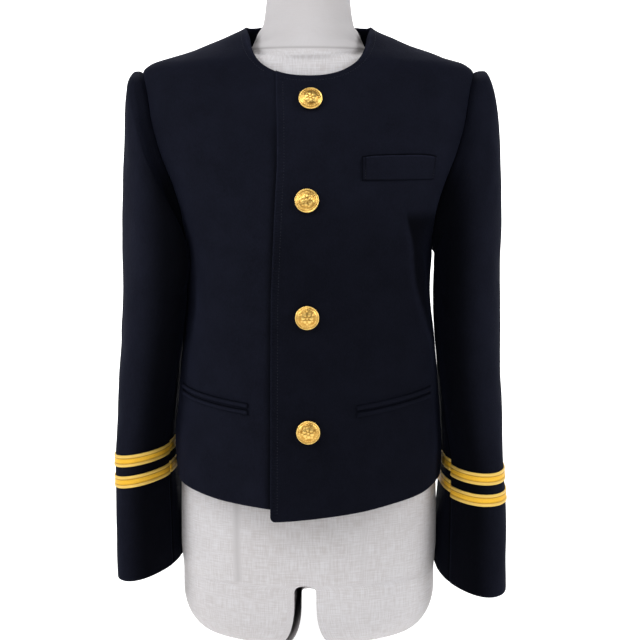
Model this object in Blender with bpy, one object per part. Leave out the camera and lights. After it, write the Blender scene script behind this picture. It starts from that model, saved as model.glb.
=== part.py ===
"""A collarless wool jacket with braided cuffs, buttoned on a linen dress form.

The jacket is made as a tailor makes it: two fronts that lap at the centre, a plain back and
two-piece sleeves, each a thin wall of cloth with a narrow gap at every seam.  The body's shape is
one smooth surface through horizontal sections.  A panel is a grid on that surface between its own
seams, laid out by the distance along each section and the height, as on a flat pattern.  A sleeve
is a tube through oval rings whose columns run on over the sleeve head to the armhole's points.

Metres, +Z up.  The form stands on z = 0, its front faces -Y, and the wearer's left is +X.
"""

import math

import bmesh
import bpy
import numpy as np
from mathutils import Vector

# ---- Cloth and seams ----------------------------------------------------------------------
CLOTH = 0.0018  # thickness of the wool
HALF_SEAM = 0.0003  # how far each piece stays back from the line of a seam
LIFT = 0.0005  # gap under a piece that lies on a panel
LAP_LIFT = CLOTH + 0.0009  # how far the top front is raised where it lies on the other front

# ---- Body of the jacket -------------------------------------------------------------------
UNDERARM_Z = 0.446
SHOULDER_TIP_Z = 0.6460
NECK_SIDE_Z = 0.6965
NECK_HALF_WIDTH = 0.0695
NECK_FRONT_Z = 0.6360
NECK_BACK_RISE = 0.0105
NECK_SQUARENESS = 2.30
UNDER_FRONT_EDGE_X = -0.0300
LAP_BEND_X = 0.034  # where the raised top front starts to come down
LAP_END_X = 0.085  # and where it is back on the body's surface
HEM_CORNER_RADIUS = 0.0055
HEM_CORNER_PLACES = (0.0, 0.3, 1.0)  # columns near the front edge, as shares of that radius
FRONT_COLUMNS = 16
FRONT_NECK_CELLS = 8
BACK_HALF_COLUMNS = 11
BACK_NECK_CELLS = 4
HEM_ROWS = 7  # rows of cells below the underarm
ARM_CELLS = 12  # cells along each half of the armhole
SECTION_STEPS = 241  # steps in which a section's length is measured
LINE_STEPS = 121  # and points in which a seam's line is first worked out
YOKE_GRADE = 1.7  # how much closer the rows lie at the shoulder than at the underarm

# Outer surface of the body.  front and back are measured from middle, the Y of the widest line.
BODY_COLUMNS = ("z", "half_width", "front", "back", "middle", "squareness")
BODY_ROWS = (
    (0.150, 0.1510, 0.1195, 0.1060, 0.012, 2.35),
    (0.178, 0.1510, 0.1190, 0.1040, 0.012, 2.35),
    (0.225, 0.1530, 0.1190, 0.0990, 0.012, 2.35),
    (0.285, 0.1485, 0.1190, 0.0900, 0.012, 2.35),
    (0.340, 0.1440, 0.1190, 0.0870, 0.012, 2.35),
    (0.400, 0.1385, 0.1200, 0.0890, 0.012, 2.35),
    (0.446, 0.1400, 0.1210, 0.0920, 0.012, 2.30),
    (0.480, 0.1490, 0.1200, 0.0950, 0.012, 2.30),
    (0.516, 0.1600, 0.1140, 0.0970, 0.012, 2.30),
    (0.557, 0.1750, 0.1040, 0.0960, 0.013, 2.30),
    (0.600, 0.1850, 0.0880, 0.0920, 0.014, 2.25),
    (0.636, 0.1870, 0.0715, 0.0860, 0.015, 2.20),
    (0.646, 0.1855, 0.0665, 0.0840, 0.015, 2.20),
    (0.654, 0.1765, 0.0615, 0.0810, 0.015, 2.20),
    (0.662, 0.1520, 0.0555, 0.0770, 0.015, 2.20),
    (0.672, 0.1230, 0.0467, 0.0720, 0.015, 2.20),
    (0.6832, 0.0960, 0.0378, 0.0660, 0.015, 2.20),
    (0.6965, 0.0695, 0.0250, 0.0590, 0.015, 2.20),
    (0.706, 0.0650, 0.0200, 0.0570, 0.015, 2.20),
)

# The edge of the front that laps on top, by height.
EDGE_COLUMNS = ("z", "x")
EDGE_ROWS = (
    (0.160, -0.0412),
    (0.300, -0.0404),
    (0.398, -0.0395),
    (0.436, -0.0379),
    (0.474, -0.0363),
    (0.511, -0.0346),
    (0.547, -0.0330),
    (0.582, -0.0333),
    (0.617, -0.0346),
    (0.636, -0.0350),
)

# Armhole, from the underarm to the shoulder tip: the share of its height, and how far it reaches
# round the body forwards and backwards from the side seam.
ARMHOLE_COLUMNS = ("climb", "forward", "backward")
ARMHOLE_ROWS = (
    (0.00, 0.000, 0.000),
    (0.02, 0.025, 0.024),
    (0.09, 0.045, 0.041),
    (0.24, 0.0565, 0.050),
    (0.40, 0.0525, 0.050),
    (0.55, 0.0455, 0.046),
    (0.80, 0.0330, 0.035),
    (0.95, 0.0175, 0.018),
    (1.00, 0.000, 0.000),
)

# Hem height at the front edge and at the side seam of each front, and at the centre and side
# of the back.
HEM_TOP_FRONT = (0.1602, 0.1965)
HEM_UNDER_FRONT = (0.1680, 0.1965)
HEM_BACK = (0.1910, 0.1965)
HEM_CURVE = 1.3  # how late along a panel its hem climbs

# Soft folds pressed out of a front: a line from its upper to its lower end, the distances
# measured from the centre front along the section, and its width and height.
FOLD_COLUMNS = ("side", "top_s", "top_z", "foot_s", "foot_z", "width", "height")
FOLD_ROWS = (
    (1, 0.118, 0.500, 0.176, 0.250, 0.026, 0.0050),
    (-1, 0.100, 0.470, 0.135, 0.270, 0.022, 0.0025),
)

# ---- Sleeves ------------------------------------------------------------------------------
BICEP_Z = 0.436
CAP_ROWS = 6
SLEEVE_TURN_SHARE = 0.66  # how far up the sleeve head its columns stay upright
HEAD_REACH = 0.036  # how far the head stands out of the shoulder tip
HEAD_SPAN_SHARE = 0.45  # but no more than this share of the way down to the bicep
HEAD_LEAVE = (0.075, 0.9, 0.45)  # outwards, and times the offset from the armhole's middle
FRONT_SEAM_COLUMNS = (1, 0)  # of the left and the right sleeve
BACK_SEAM_COLUMN = 18

# Space between a sleeve and what it hangs beside, wider where braid or a pocket lies between.
CLEARANCE_COLUMNS = ("z", "gap")
CLEARANCE_ROWS = ((0.130, 0.0015), (0.155, 0.0034), (0.300, 0.0034), (0.330, 0.0014), (0.365, 0.0022))

# Rings of a sleeve.  out is the distance of the centre from the middle plane, across and deep
# are the half sizes, and turn moves the front end of the ring outwards.
SLEEVE_COLUMNS = ("z", "out", "y", "across", "deep", "turn", "squareness")
LEFT_SLEEVE_ROWS = (
    (0.436, 0.1800, 0.004, 0.0390, 0.0640, -8, 2.15),
    (0.350, 0.1795, 0.002, 0.0400, 0.0620, -4, 2.15),
    (0.270, 0.1820, 0.000, 0.0385, 0.0610, 5, 2.15),
    (0.200, 0.1852, 0.000, 0.0330, 0.0610, 17, 2.15),
    (0.150, 0.1848, -0.002, 0.0350, 0.0620, 21, 2.15),
    (0.060, 0.1850, -0.003, 0.0360, 0.0640, 21, 2.15),
)
RIGHT_SLEEVE_ROWS = (
    (0.436, 0.1665, -0.002, 0.0400, 0.0665, -29, 2.15),
    (0.350, 0.1735, -0.002, 0.0405, 0.0630, -8, 2.15),
    (0.270, 0.1795, 0.000, 0.0345, 0.0610, 14, 2.15),
    (0.200, 0.1810, 0.004, 0.0280, 0.0610, 27, 2.15),
    (0.150, 0.1810, 0.002, 0.0280, 0.0610, 27, 2.15),
    (0.060, 0.1800, -0.002, 0.0285, 0.0610, 25, 2.15),
)
# Height of the cuff's edge at the front and at the back of the sleeve.
LEFT_CUFF_Z = (0.0605, 0.0850)
RIGHT_CUFF_Z = (0.0785, 0.0940)
SLEEVE_LEVELS = (0.262, 0.305, 0.350, 0.395)  # rings between the braid and the bicep
LOW_LEVEL = 0.118  # the ring between the cuff's edge and the braid
RING_SMOOTHINGS = 2

# ---- Braid --------------------------------------------------------------------------------
BRAID_WIDTH = 0.0134
BRAID_SPACE = 0.0105
BRAID_THICKNESS = 0.0010
# Height of the upper ring's top edge, and its rise towards the back and towards the body.
LEFT_BRAID_PLACE = (0.2015, 0.12, 0.0)
RIGHT_BRAID_PLACE = (0.2240, 0.04, 0.11)

# ---- Buttons ------------------------------------------------------------------------------
BUTTON_RADIUS = 0.0127
BUTTON_SEGMENTS = 20
BUTTON_PLACES = ((0.0022, 0.6094), (-0.0018, 0.5031), (-0.0016, 0.3817), (-0.0006, 0.2593))
BUTTON_LIFT = 0.0009
# Half section, from the middle of the back to the top of the dome: the share of the radius, and
# the height.
BUTTON_PROFILE = (
    (0.00, 0.0000),
    (0.86, 0.0000),
    (1.00, 0.0009),
    (1.00, 0.0020),
    (0.93, 0.0026),
    (0.87, 0.0023),
    (0.60, 0.0043),
    (0.30, 0.0052),
    (0.00, 0.0055),
)

# ---- Pockets ------------------------------------------------------------------------------
# The distances called s are measured round the section from the centre front.
STRIP_CELLS = 8
WELT_INNER_S = 0.056
WELT_LENGTH = 0.088
WELT_BOTTOM_Z = 0.5242
WELT_HEIGHT = 0.0235
WELT_TILT = 0.022
POCKET_LENGTH = 0.100
POCKET_COLUMNS = ("side", "word", "inner_s", "inner_z", "tilt")
POCKET_ROWS = ((1, "left", 0.0505, 0.2738, 0.131), (-1, "right", 0.0655, 0.2756, 0.128))
LIP_HEIGHT = 0.0056
LIP_SPACE = 0.0018
LIP_THICKNESS = 0.0014

# ---- Dress form ---------------------------------------------------------------------------
FORM_CELLS_ROUND = 32
CROTCH_Z = 0.078
CROTCH_DIP = 0.006  # how far the crotch hangs at its front and back ends
THIGH_GAP = 0.0080  # half the space between the thigh stubs
CROTCH_CELLS = 8
STUB_LEVELS = (0.066, 0.052, 0.038, 0.025, 0.014, 0.006, 0.002, 0.0)
FOOT_REACH = 0.045  # size of the foot's rounding, inwards
FOOT_HEIGHT = 0.056  # and upwards
FORM_COLUMNS = ("z", "half_width", "front", "back", "middle", "squareness")
FORM_ROWS = (
    (0.078, 0.1460, 0.0860, 0.0990, 0.014, 2.15),
    (0.120, 0.1485, 0.0900, 0.0990, 0.014, 2.15),
    (0.178, 0.1475, 0.0950, 0.0960, 0.014, 2.15),
    (0.240, 0.1430, 0.0940, 0.0880, 0.014, 2.15),
    (0.320, 0.1260, 0.0860, 0.0740, 0.014, 2.10),
    (0.390, 0.1210, 0.0920, 0.0740, 0.014, 2.10),
    (0.440, 0.1290, 0.1060, 0.0820, 0.014, 2.10),
    (0.480, 0.1340, 0.1120, 0.0860, 0.014, 2.10),
    (0.530, 0.1390, 0.1000, 0.0890, 0.014, 2.10),
    (0.580, 0.1480, 0.0850, 0.0870, 0.014, 2.10),
    (0.620, 0.1580, 0.0700, 0.0820, 0.015, 2.10),
    (0.636, 0.1640, 0.0630, 0.0800, 0.015, 2.10),
    (0.648, 0.1640, 0.0570, 0.0770, 0.015, 2.10),
    (0.656, 0.1550, 0.0530, 0.0740, 0.015, 2.15),
)
TORSO_LEVELS = (*np.linspace(CROTCH_Z, 0.616, 16), 0.634, 0.646, 0.656)
# Heights of the form's rings under the jacket's shoulders, and the space left above each.
SHOULDER_LEVELS = (0.664, 0.669, 0.674, 0.679, 0.684, 0.689)
SHOULDER_CLEARANCES = (0.0042, 0.0078, 0.0118, 0.0165, 0.0215, 0.0245)
NECK_ROWS = (
    (0.6600, 0.0690, 0.0550, 0.0600, 0.015, 2.15),
    (0.6841, 0.0650, 0.0515, 0.0585, 0.015, 2.15),
    (0.6895, 0.0571, 0.0475, 0.0550, 0.015, 2.10),
    (0.6955, 0.0517, 0.0445, 0.0530, 0.016, 2.05),
    (0.7040, 0.0496, 0.0430, 0.0525, 0.016, 2.00),
    (0.7150, 0.0480, 0.0420, 0.0520, 0.016, 2.00),
    (0.7600, 0.0440, 0.0390, 0.0510, 0.014, 2.00),
)
NECK_LEVELS = (0.6920, 0.6955, 0.700, 0.706, 0.718, 0.738, 0.760)
NECK_CAP = ((0.7640, 0.95), (0.7650, 0.86))  # heights and sizes of the last rings of the neck


# ---- Materials ----------------------------------------------------------------------------
def material(name, colour, roughness, metallic):
    made = bpy.data.materials.new(name)
    made.use_nodes = True
    shader = made.node_tree.nodes["Principled BSDF"]
    shader.inputs["Base Color"].default_value = (*colour, 1.0)
    shader.inputs["Roughness"].default_value = roughness
    shader.inputs["Metallic"].default_value = metallic
    made.diffuse_color = (*colour, 1.0)
    return made


# ---- Smooth tables ------------------------------------------------------------------------
def curve_slopes(at, values):
    """Slopes of a smooth curve through the rows that never swings past them."""
    step = np.diff(at)[:, None]
    rise = np.diff(values, axis=0) / step
    slopes = np.zeros_like(values)
    slopes[0] = rise[0]
    slopes[-1] = rise[-1]
    one_way = rise[:-1] * rise[1:] > 0
    before = np.where(one_way, rise[:-1], 1.0)
    after = np.where(one_way, rise[1:], 1.0)
    first = 2 * step[1:] + step[:-1]
    second = step[1:] + 2 * step[:-1]
    slopes[1:-1] = np.where(one_way, (first + second) / (first / before + second / after), 0.0)
    return slopes


class Table:
    """Rows of named columns, read between the rows along a smooth curve."""

    def __init__(self, columns, rows):
        values = np.array(sorted(rows), float)
        self.columns = columns[1:]
        self.at = values[:, 0]
        self.values = values[:, 1:]
        self.slopes = curve_slopes(self.at, self.values)

    def read(self, where):
        """Each column's value at the given places, as a dictionary."""
        where = np.clip(np.asarray(where, float), self.at[0], self.at[-1])
        row = np.clip(np.searchsorted(self.at, where) - 1, 0, len(self.at) - 2)
        step = self.at[row + 1] - self.at[row]
        t = ((where - self.at[row]) / step)[..., None]
        step = step[..., None]
        value = (
            self.values[row] * (1 + 2 * t) * (1 - t) ** 2
            + self.values[row + 1] * t**2 * (3 - 2 * t)
            + step * self.slopes[row] * t * (1 - t) ** 2
            - step * self.slopes[row + 1] * t**2 * (1 - t)
        )
        return {name: value[..., k] for k, name in enumerate(self.columns)}


BODY = Table(BODY_COLUMNS, BODY_ROWS)
EDGE = Table(EDGE_COLUMNS, EDGE_ROWS)
FORM = Table(FORM_COLUMNS, FORM_ROWS)
NECK = Table(FORM_COLUMNS, NECK_ROWS)
CLEARANCE = Table(CLEARANCE_COLUMNS, CLEARANCE_ROWS)


# ---- The body's surface -------------------------------------------------------------------
def section_point(section, angle):
    """x and y at an angle round a section: 0 is the centre front and pi the centre back."""
    power = 2 / section["squareness"]
    sine = np.sin(angle)
    cosine = np.cos(angle)
    x = section["half_width"] * np.sign(sine) * np.abs(sine) ** power
    reach = np.where(cosine > 0, section["front"], section["back"])
    y = section["middle"] - reach * np.sign(cosine) * np.abs(cosine) ** power
    return x, y


def section_level(section, x, y):
    """Below 1 inside a section, 1 on it, and above 1 outside."""
    reach = np.where(y < section["middle"], section["front"], section["back"])
    power = section["squareness"]
    across = np.abs(x / section["half_width"]) ** power
    along = np.abs((y - section["middle"]) / reach) ** power
    return (across + along) ** (1 / power)


def on_surface(table, angle, z):
    x, y = section_point(table.read(z), angle)
    return np.stack([x, y, np.broadcast_to(z, x.shape)], axis=-1)


def surface_normals(table, points):
    """Outward normals of a table's surface at points on it."""
    nudge = 0.0004
    slope = []
    for axis in range(3):
        step = np.zeros(3)
        step[axis] = nudge
        ahead = points + step
        behind = points - step
        rise = section_level(table.read(ahead[..., 2]), ahead[..., 0], ahead[..., 1])
        fall = section_level(table.read(behind[..., 2]), behind[..., 0], behind[..., 1])
        slope.append(rise - fall)
    slope = np.stack(slope, axis=-1)
    return slope / np.linalg.norm(slope, axis=-1, keepdims=True)


def quarter_lengths(z, front):
    """Distances along the section at z from the centre to the side, and their angles."""
    angle = np.linspace(0, math.pi / 2, SECTION_STEPS)
    if not front:
        angle = math.pi - angle
    x, y = section_point(BODY.read(z), angle)
    run = np.hypot(np.diff(x), np.diff(y))
    return np.concatenate([[0], np.cumsum(run)]), angle


def side_length(z, front):
    return quarter_lengths(z, front)[0][-1]


def angle_at(s, z, front):
    """The angle of the point that lies s along the section from the centre."""
    run, angle = quarter_lengths(z, front)
    turn = np.interp(abs(s), run, np.abs(angle - angle[0]))
    turn = math.copysign(turn, s)
    return turn if front else math.pi - turn


def length_at_x(x, z, front):
    run, angle = quarter_lengths(z, front)
    across = section_point(BODY.read(z), angle)[0]
    return math.copysign(np.interp(abs(x), across, run), x)


# ---- Seam lines, each a list of (s, z) on the flat pattern ------------------------------------
def resample(points, shares):
    """Points at the given shares of a line's length."""
    points = np.asarray(points, float)
    run = np.concatenate([[0], np.cumsum(np.linalg.norm(np.diff(points, axis=0), axis=1))])
    at = np.asarray(shares) / shares[-1] * run[-1]
    return np.stack([np.interp(at, run, points[:, k]) for k in range(points.shape[1])], axis=1)


def front_neckline(edge_x, shares):
    """From the front edge to the side of the neck."""
    drop = NECK_SIDE_Z - NECK_FRONT_Z
    power = 2 / NECK_SQUARENESS
    start = math.copysign(math.asin((abs(edge_x) / NECK_HALF_WIDTH) ** (1 / power)), edge_x)
    line = []
    for turn in np.linspace(start, math.pi / 2, LINE_STEPS):
        x = NECK_HALF_WIDTH * math.copysign(abs(math.sin(turn)) ** power, turn)
        z = NECK_SIDE_Z - drop * abs(math.cos(turn)) ** power
        line.append((length_at_x(x, z, True), z))
    line[-1] = (side_length(NECK_SIDE_Z, True), NECK_SIDE_Z)
    return resample(line, shares)


def back_neckline(shares):
    """From the centre back to the side of the neck."""
    line = []
    for turn in np.linspace(0, math.pi / 2, LINE_STEPS):
        z = NECK_SIDE_Z + NECK_BACK_RISE * math.cos(turn) ** 2
        line.append((turn / (math.pi / 2) * side_length(z, False), z))
    return resample(line, shares)


def shoulder_seam(front, shares):
    """From the side of the neck to the shoulder tip."""
    tip_x = float(BODY.read(SHOULDER_TIP_Z)["half_width"])
    reach = NECK_HALF_WIDTH + (tip_x - NECK_HALF_WIDTH) * shares
    levels = np.linspace(NECK_SIDE_Z, SHOULDER_TIP_Z, LINE_STEPS)
    widths = BODY.read(levels)["half_width"]
    line = [(side_length(z, front), z) for z in np.interp(reach, widths, levels)]
    line[-1] = (side_length(SHOULDER_TIP_Z, front), SHOULDER_TIP_Z)
    return np.array(line)


def armhole(front):
    """From the underarm to the shoulder tip."""
    table = Table(("share",) + ARMHOLE_COLUMNS, [
        (k / (len(ARMHOLE_ROWS) - 1),) + row for k, row in enumerate(ARMHOLE_ROWS)
    ])
    values = table.read(np.linspace(0, 1, LINE_STEPS))
    reach = values["forward" if front else "backward"]
    z = UNDERARM_Z + (SHOULDER_TIP_Z - UNDERARM_Z) * values["climb"]
    line = [(side_length(level, front) - r, level) for r, level in zip(reach, z)]
    points = pattern_points(np.array(line), front)
    run = np.concatenate([[0], np.cumsum(np.linalg.norm(np.diff(points, axis=0), axis=1))])
    at = np.linspace(0, run[-1], ARM_CELLS + 1)
    line = np.array(line)
    return np.stack([np.interp(at, run, line[:, 0]), np.interp(at, run, line[:, 1])], axis=1)


def pattern_points(line, front):
    """Points of the body's surface at (s, z) places of the flat pattern."""
    flat = line.reshape(-1, 2)
    angle = np.array([angle_at(s, z, front) for s, z in flat])
    return on_surface(BODY, angle, flat[:, 1]).reshape(*line.shape[:-1], 3)


# ---- Panels of the body -------------------------------------------------------------------
def graded(share):
    """Shares that lie closer together near 1, where the shoulder turns over."""
    return 1 - (1 - share) ** YOKE_GRADE


def blended_grid(shares, bottom, top, left, right):
    """A grid of pattern places between four border lines that meet at its corners."""
    across = shares[None, :, None]
    even = np.linspace(0, 1, len(left))[:, None, None]
    up = even + (graded(even) - even) * (1 - across**4)
    low = bottom[None, :, :]
    high = top[None, :, :]
    near = left[:, None, :]
    far = right[:, None, :]
    corners = (
        (1 - across) * (1 - up) * bottom[0]
        + across * (1 - up) * bottom[-1]
        + (1 - across) * up * top[0]
        + across * up * top[-1]
    )
    return (1 - up) * low + up * high + (1 - across) * near + across * far - corners


def half_panel(front, shares, neck_cells, start, hem, neckline):
    """Pattern places of a half panel, row by row from the hem, from the centre to the side.

    start gives the centre edge's distance from the centre line at a height, hem the hem's height
    at that edge and at the side, and shares where the columns lie between them.
    """
    def level_row(z_start, z_side):
        first = start(z_start)
        s = first + (side_length(z_side, front) - first) * shares
        return np.stack([s, z_start + (z_side - z_start) * shares**HEM_CURVE], axis=1)

    climbs = np.arange(HEM_ROWS)[:, None] / HEM_ROWS
    levels = np.array(hem) + (UNDERARM_Z - np.array(hem)) * climbs
    rows = np.array([level_row(*level) for level in levels])
    neck = neckline(shares[: neck_cells + 1])
    along_shoulder = (shares[neck_cells:] - shares[neck_cells]) / (1 - shares[neck_cells])
    shoulder = shoulder_seam(front, along_shoulder)
    climb = graded(np.linspace(0, 1, ARM_CELLS + 1))
    left = np.array([(start(z), z) for z in UNDERARM_Z + (neck[0][1] - UNDERARM_Z) * climb])
    left[-1] = neck[0]
    yoke = blended_grid(
        shares,
        level_row(UNDERARM_Z, UNDERARM_Z),
        np.concatenate([neck, shoulder[1:]]),
        left,
        armhole(front),
    )
    return np.concatenate([rows, yoke])


def fold_height(side, s, z):
    """How far the folds of one front lift its cloth at a pattern place."""
    lift = np.zeros(np.shape(s))
    for row in FOLD_ROWS:
        fold = dict(zip(FOLD_COLUMNS, row))
        if fold["side"] != side:
            continue
        climb = (z - fold["foot_z"]) / (fold["top_z"] - fold["foot_z"])
        line = fold["foot_s"] + (fold["top_s"] - fold["foot_s"]) * climb
        fade = np.clip(climb * (1 - climb) * 4, 0, 1)
        lift += fold["height"] * fade * np.exp(-(((s - line) / fold["width"]) ** 2))
    return lift


def pull_in_edges(grid, edges):
    """Moves the named borders of a grid of points back from their seams."""
    grid = grid.copy()
    for edge in edges:
        border, inner = {
            "left": ((slice(None), 0), (slice(None), 1)),
            "right": ((slice(None), -1), (slice(None), -2)),
            "bottom": ((0,), (1,)),
            "top": ((-1,), (-2,)),
        }[edge]
        step = grid[inner] - grid[border]
        grid[border] = grid[border] + HALF_SEAM * step / np.linalg.norm(step, axis=-1, keepdims=True)
    return grid


def round_hem_corner(grid):
    """Lifts the hem along an arc where it nears the centre edge, on the pattern."""
    grid = grid.copy()
    back = np.clip(HEM_CORNER_RADIUS - (grid[0, :, 0] - grid[0, 0, 0]), 0, HEM_CORNER_RADIUS)
    grid[0, :, 1] += HEM_CORNER_RADIUS - np.sqrt(HEM_CORNER_RADIUS**2 - back**2)
    return grid


def front_edge_x(side, z):
    """Where the centre edge of a front lies, in the half that holds its side seam."""
    return float(EDGE.read(z)["x"]) if side > 0 else UNDER_FRONT_EDGE_X


def front_pattern(side, hem):
    def start(z):
        return length_at_x(front_edge_x(side, z), z, True)

    def neckline(shares):
        return front_neckline(front_edge_x(side, NECK_FRONT_Z), shares)

    width = side_length(hem[1], True) - start(hem[0])
    corner = np.array(HEM_CORNER_PLACES) * HEM_CORNER_RADIUS / width
    rest = np.linspace(corner[-1], 1, FRONT_COLUMNS - len(corner) + 2)[1:]
    shares = np.concatenate([corner, rest])
    return half_panel(True, shares, FRONT_NECK_CELLS, start, hem, neckline)


def back_pattern():
    shares = np.linspace(0, 1, BACK_HALF_COLUMNS + 1)
    return half_panel(False, shares, BACK_NECK_CELLS, lambda z: 0.0, HEM_BACK, back_neckline)


def seam_normals(points, arm_normals):
    """Normals of a panel, with those along its armhole shared with the sleeve."""
    normals = surface_normals(BODY, points)
    normals[HEM_ROWS:, -1] = arm_normals
    return normals


def mirrored(points):
    return points * np.array([-1.0, 1.0, 1.0])


# ---- Sleeves ------------------------------------------------------------------------------
def sleeve_ring(section, cells):
    """Points of a ring from the side next to the body round by the front."""
    angle = np.linspace(0, 2 * math.pi, cells + 1)[:-1]
    power = 2 / float(section["squareness"])
    across = -float(section["across"]) * np.sign(np.cos(angle)) * np.abs(np.cos(angle)) ** power
    along = -float(section["deep"]) * np.sign(np.sin(angle)) * np.abs(np.sin(angle)) ** power
    turn = math.radians(float(section["turn"]))
    x = float(section["out"]) + across * math.cos(turn) - along * math.sin(turn)
    y = float(section["y"]) + across * math.sin(turn) + along * math.cos(turn)
    return x, y


def clear_of(table, points, clearance):
    """Moves points that lie inside a surface, or too near to it, straight out of it."""
    section = table.read(points[..., 2])
    wide = {**section}
    for name in ("half_width", "front", "back"):
        wide[name] = section[name] + clearance
    level = section_level(wide, points[..., 0], points[..., 1])
    scale = np.maximum(1 / np.maximum(level, 0.05), 1)
    moved = points.copy()
    moved[..., 0] = points[..., 0] * scale
    moved[..., 1] = section["middle"] + (points[..., 1] - section["middle"]) * scale
    return moved


def sleeve_grid(rings, cuff, braid_place):
    """Outer points of a sleeve, row by row from the cuff to the armhole, all round."""
    table = Table(SLEEVE_COLUMNS, rings)
    cells = 2 * ARM_CELLS
    braid_top, to_back, to_body = braid_place
    second_top = braid_top - BRAID_WIDTH - BRAID_SPACE
    levels = [second_top - BRAID_WIDTH, second_top, braid_top - BRAID_WIDTH, braid_top]
    levels = [LOW_LEVEL, *levels, *SLEEVE_LEVELS, BICEP_Z]
    rows = []
    front_to_back = (1 - np.sin(np.linspace(0, 2 * math.pi, cells + 1)[:-1])) / 2
    cuff_z = cuff[0] + (cuff[1] - cuff[0]) * front_to_back
    x, y = sleeve_ring(table.read(np.mean(cuff)), cells)
    rows.append(np.stack([x, y, cuff_z], axis=1))
    for z in levels:
        x, y = sleeve_ring(table.read(z), cells)
        share = np.clip((BICEP_Z - z) / (BICEP_Z - braid_top), 0, 1)
        rise = to_back * (y - y.min()) + to_body * (x.mean() - x)
        rows.append(np.stack([x, y, z + share * rise], axis=1))
    rows = np.array(rows)
    height = rows[..., 2]
    gap = CLEARANCE.read(height)["gap"]
    below = height[..., None] < HEM_BACK[1]
    rows = np.where(below, clear_of(FORM, rows, gap), rows)
    beside = height[..., None] > HEM_TOP_FRONT[0] - BRAID_WIDTH
    rows = np.where(beside, clear_of(BODY, rows, gap), rows)
    for _ in range(RING_SMOOTHINGS):
        rows = (2 * rows + np.roll(rows, 1, axis=1) + np.roll(rows, -1, axis=1)) / 4
    return np.concatenate([rows, sleeve_cap(rows[-1])])


def arm_ring():
    """Points round the armhole, from the underarm up the front and down the back."""
    front = pattern_points(armhole(True), True)
    back = pattern_points(armhole(False), False)
    return np.concatenate([front, back[-2:0:-1]])


def sleeve_cap(bicep):
    """Rows from above the bicep ring to the armhole."""
    hole = arm_ring()
    span = np.linalg.norm(hole - bicep, axis=1)[:, None]
    middle = hole.mean(axis=0)
    leave = (hole - middle) * np.array(HEAD_LEAVE)
    leave[:, 0] = HEAD_LEAVE[0]
    leave /= np.linalg.norm(leave, axis=1, keepdims=True)
    handle = np.minimum(HEAD_REACH, HEAD_SPAN_SHARE * span)
    foot_handle = SLEEVE_TURN_SHARE * span * np.array([0.0, 0.0, 1.0])
    t = np.linspace(0, 1, CAP_ROWS + 1)[1:, None, None]
    first = bicep + foot_handle
    second = hole + handle * leave
    return (
        (1 - t) ** 3 * bicep
        + 3 * t * (1 - t) ** 2 * first
        + 3 * t**2 * (1 - t) * second
        + t**3 * hole
    )


def grid_normals(grid):
    """Outward normals of a sleeve's tube from its own rows and columns."""
    around = np.roll(grid, -1, axis=1) - np.roll(grid, 1, axis=1)
    up = np.gradient(grid, axis=0)
    normals = np.cross(around, up)
    normals /= np.linalg.norm(normals, axis=-1, keepdims=True)
    return normals


# ---- Making solids ------------------------------------------------------------------------
def finish(name, bm, surface):
    """An object from a closed mesh, faces outwards, shaded smooth but for its edges."""
    bmesh.ops.recalc_face_normals(bm, faces=bm.faces)
    mesh = bpy.data.meshes.new(name)
    bm.to_mesh(mesh)
    bm.free()
    mesh.materials.append(surface)
    mesh.shade_smooth()
    mesh.set_sharp_from_angle(angle=math.radians(40))
    made = bpy.data.objects.new(name, mesh)
    bpy.context.scene.collection.objects.link(made)
    return made


def wall(name, outer, inner, surface):
    """A closed wall between two grids of points: a grid bent to one and extruded to the other."""
    rows, columns = outer.shape[:2]
    bm = bmesh.new()
    bmesh.ops.create_grid(bm, x_segments=columns - 1, y_segments=rows - 1, size=0.5)
    place = bm.verts.layers.int.new("place")
    for vert in bm.verts:
        column = round((vert.co.x + 0.5) * (columns - 1))
        row = round((vert.co.y + 0.5) * (rows - 1))
        vert[place] = row * columns + column
        vert.co = outer[row, column]
    made = bmesh.ops.extrude_face_region(bm, geom=bm.faces[:])
    for vert in made["geom"]:
        if isinstance(vert, bmesh.types.BMVert):
            vert.co = inner[divmod(vert[place], columns)]
    return finish(name, bm, surface)


def skin(bm, lower, upper):
    """A band of faces between two closed loops of vertices."""
    count = len(lower)
    for k in range(count):
        following = (k + 1) % count
        bm.faces.new((lower[k], lower[following], upper[following], upper[k]))


# ---- The pieces ---------------------------------------------------------------------------
def lap_raise(x, side):
    """How far the top front is lifted over the under front."""
    if side < 0:
        return np.zeros(np.shape(x))
    ramp = np.clip((LAP_END_X - x) / (LAP_END_X - LAP_BEND_X), 0, 1)
    return LAP_LIFT * ramp * ramp * (3 - 2 * ramp)


def front_surface(side, places, arm_normals=None):
    """Outer points and normals of one front at its pattern places, in the +X half."""
    points = pattern_points(places, True)
    if arm_normals is None:
        normals = surface_normals(BODY, points)
    else:
        normals = seam_normals(points, arm_normals)
    lift = lap_raise(points[..., 0], side) + fold_height(side, places[..., 0], places[..., 1])
    return points + normals * lift[..., None], normals


def on_front(side, s, z, lift):
    """Points that lie above a front at pattern places, on their true side."""
    points, normals = front_surface(side, np.stack([s, z], axis=-1))
    points = points + normals * lift
    return points if side > 0 else mirrored(points)


def make_fronts(wool, arm_normals):
    for side, name, hem in (
        (1, "front_left", HEM_TOP_FRONT),
        (-1, "front_right", HEM_UNDER_FRONT),
    ):
        places = front_pattern(side, hem)
        if side > 0:
            places = round_hem_corner(places)
        points, normals = front_surface(side, places, arm_normals[: ARM_CELLS + 1])
        inner = points - normals * CLOTH
        outer, inner = seamed(points, inner, FRONT_NECK_CELLS)
        if side < 0:
            outer, inner = mirrored(outer), mirrored(inner)
        wall(name, outer, inner, wool)


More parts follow.
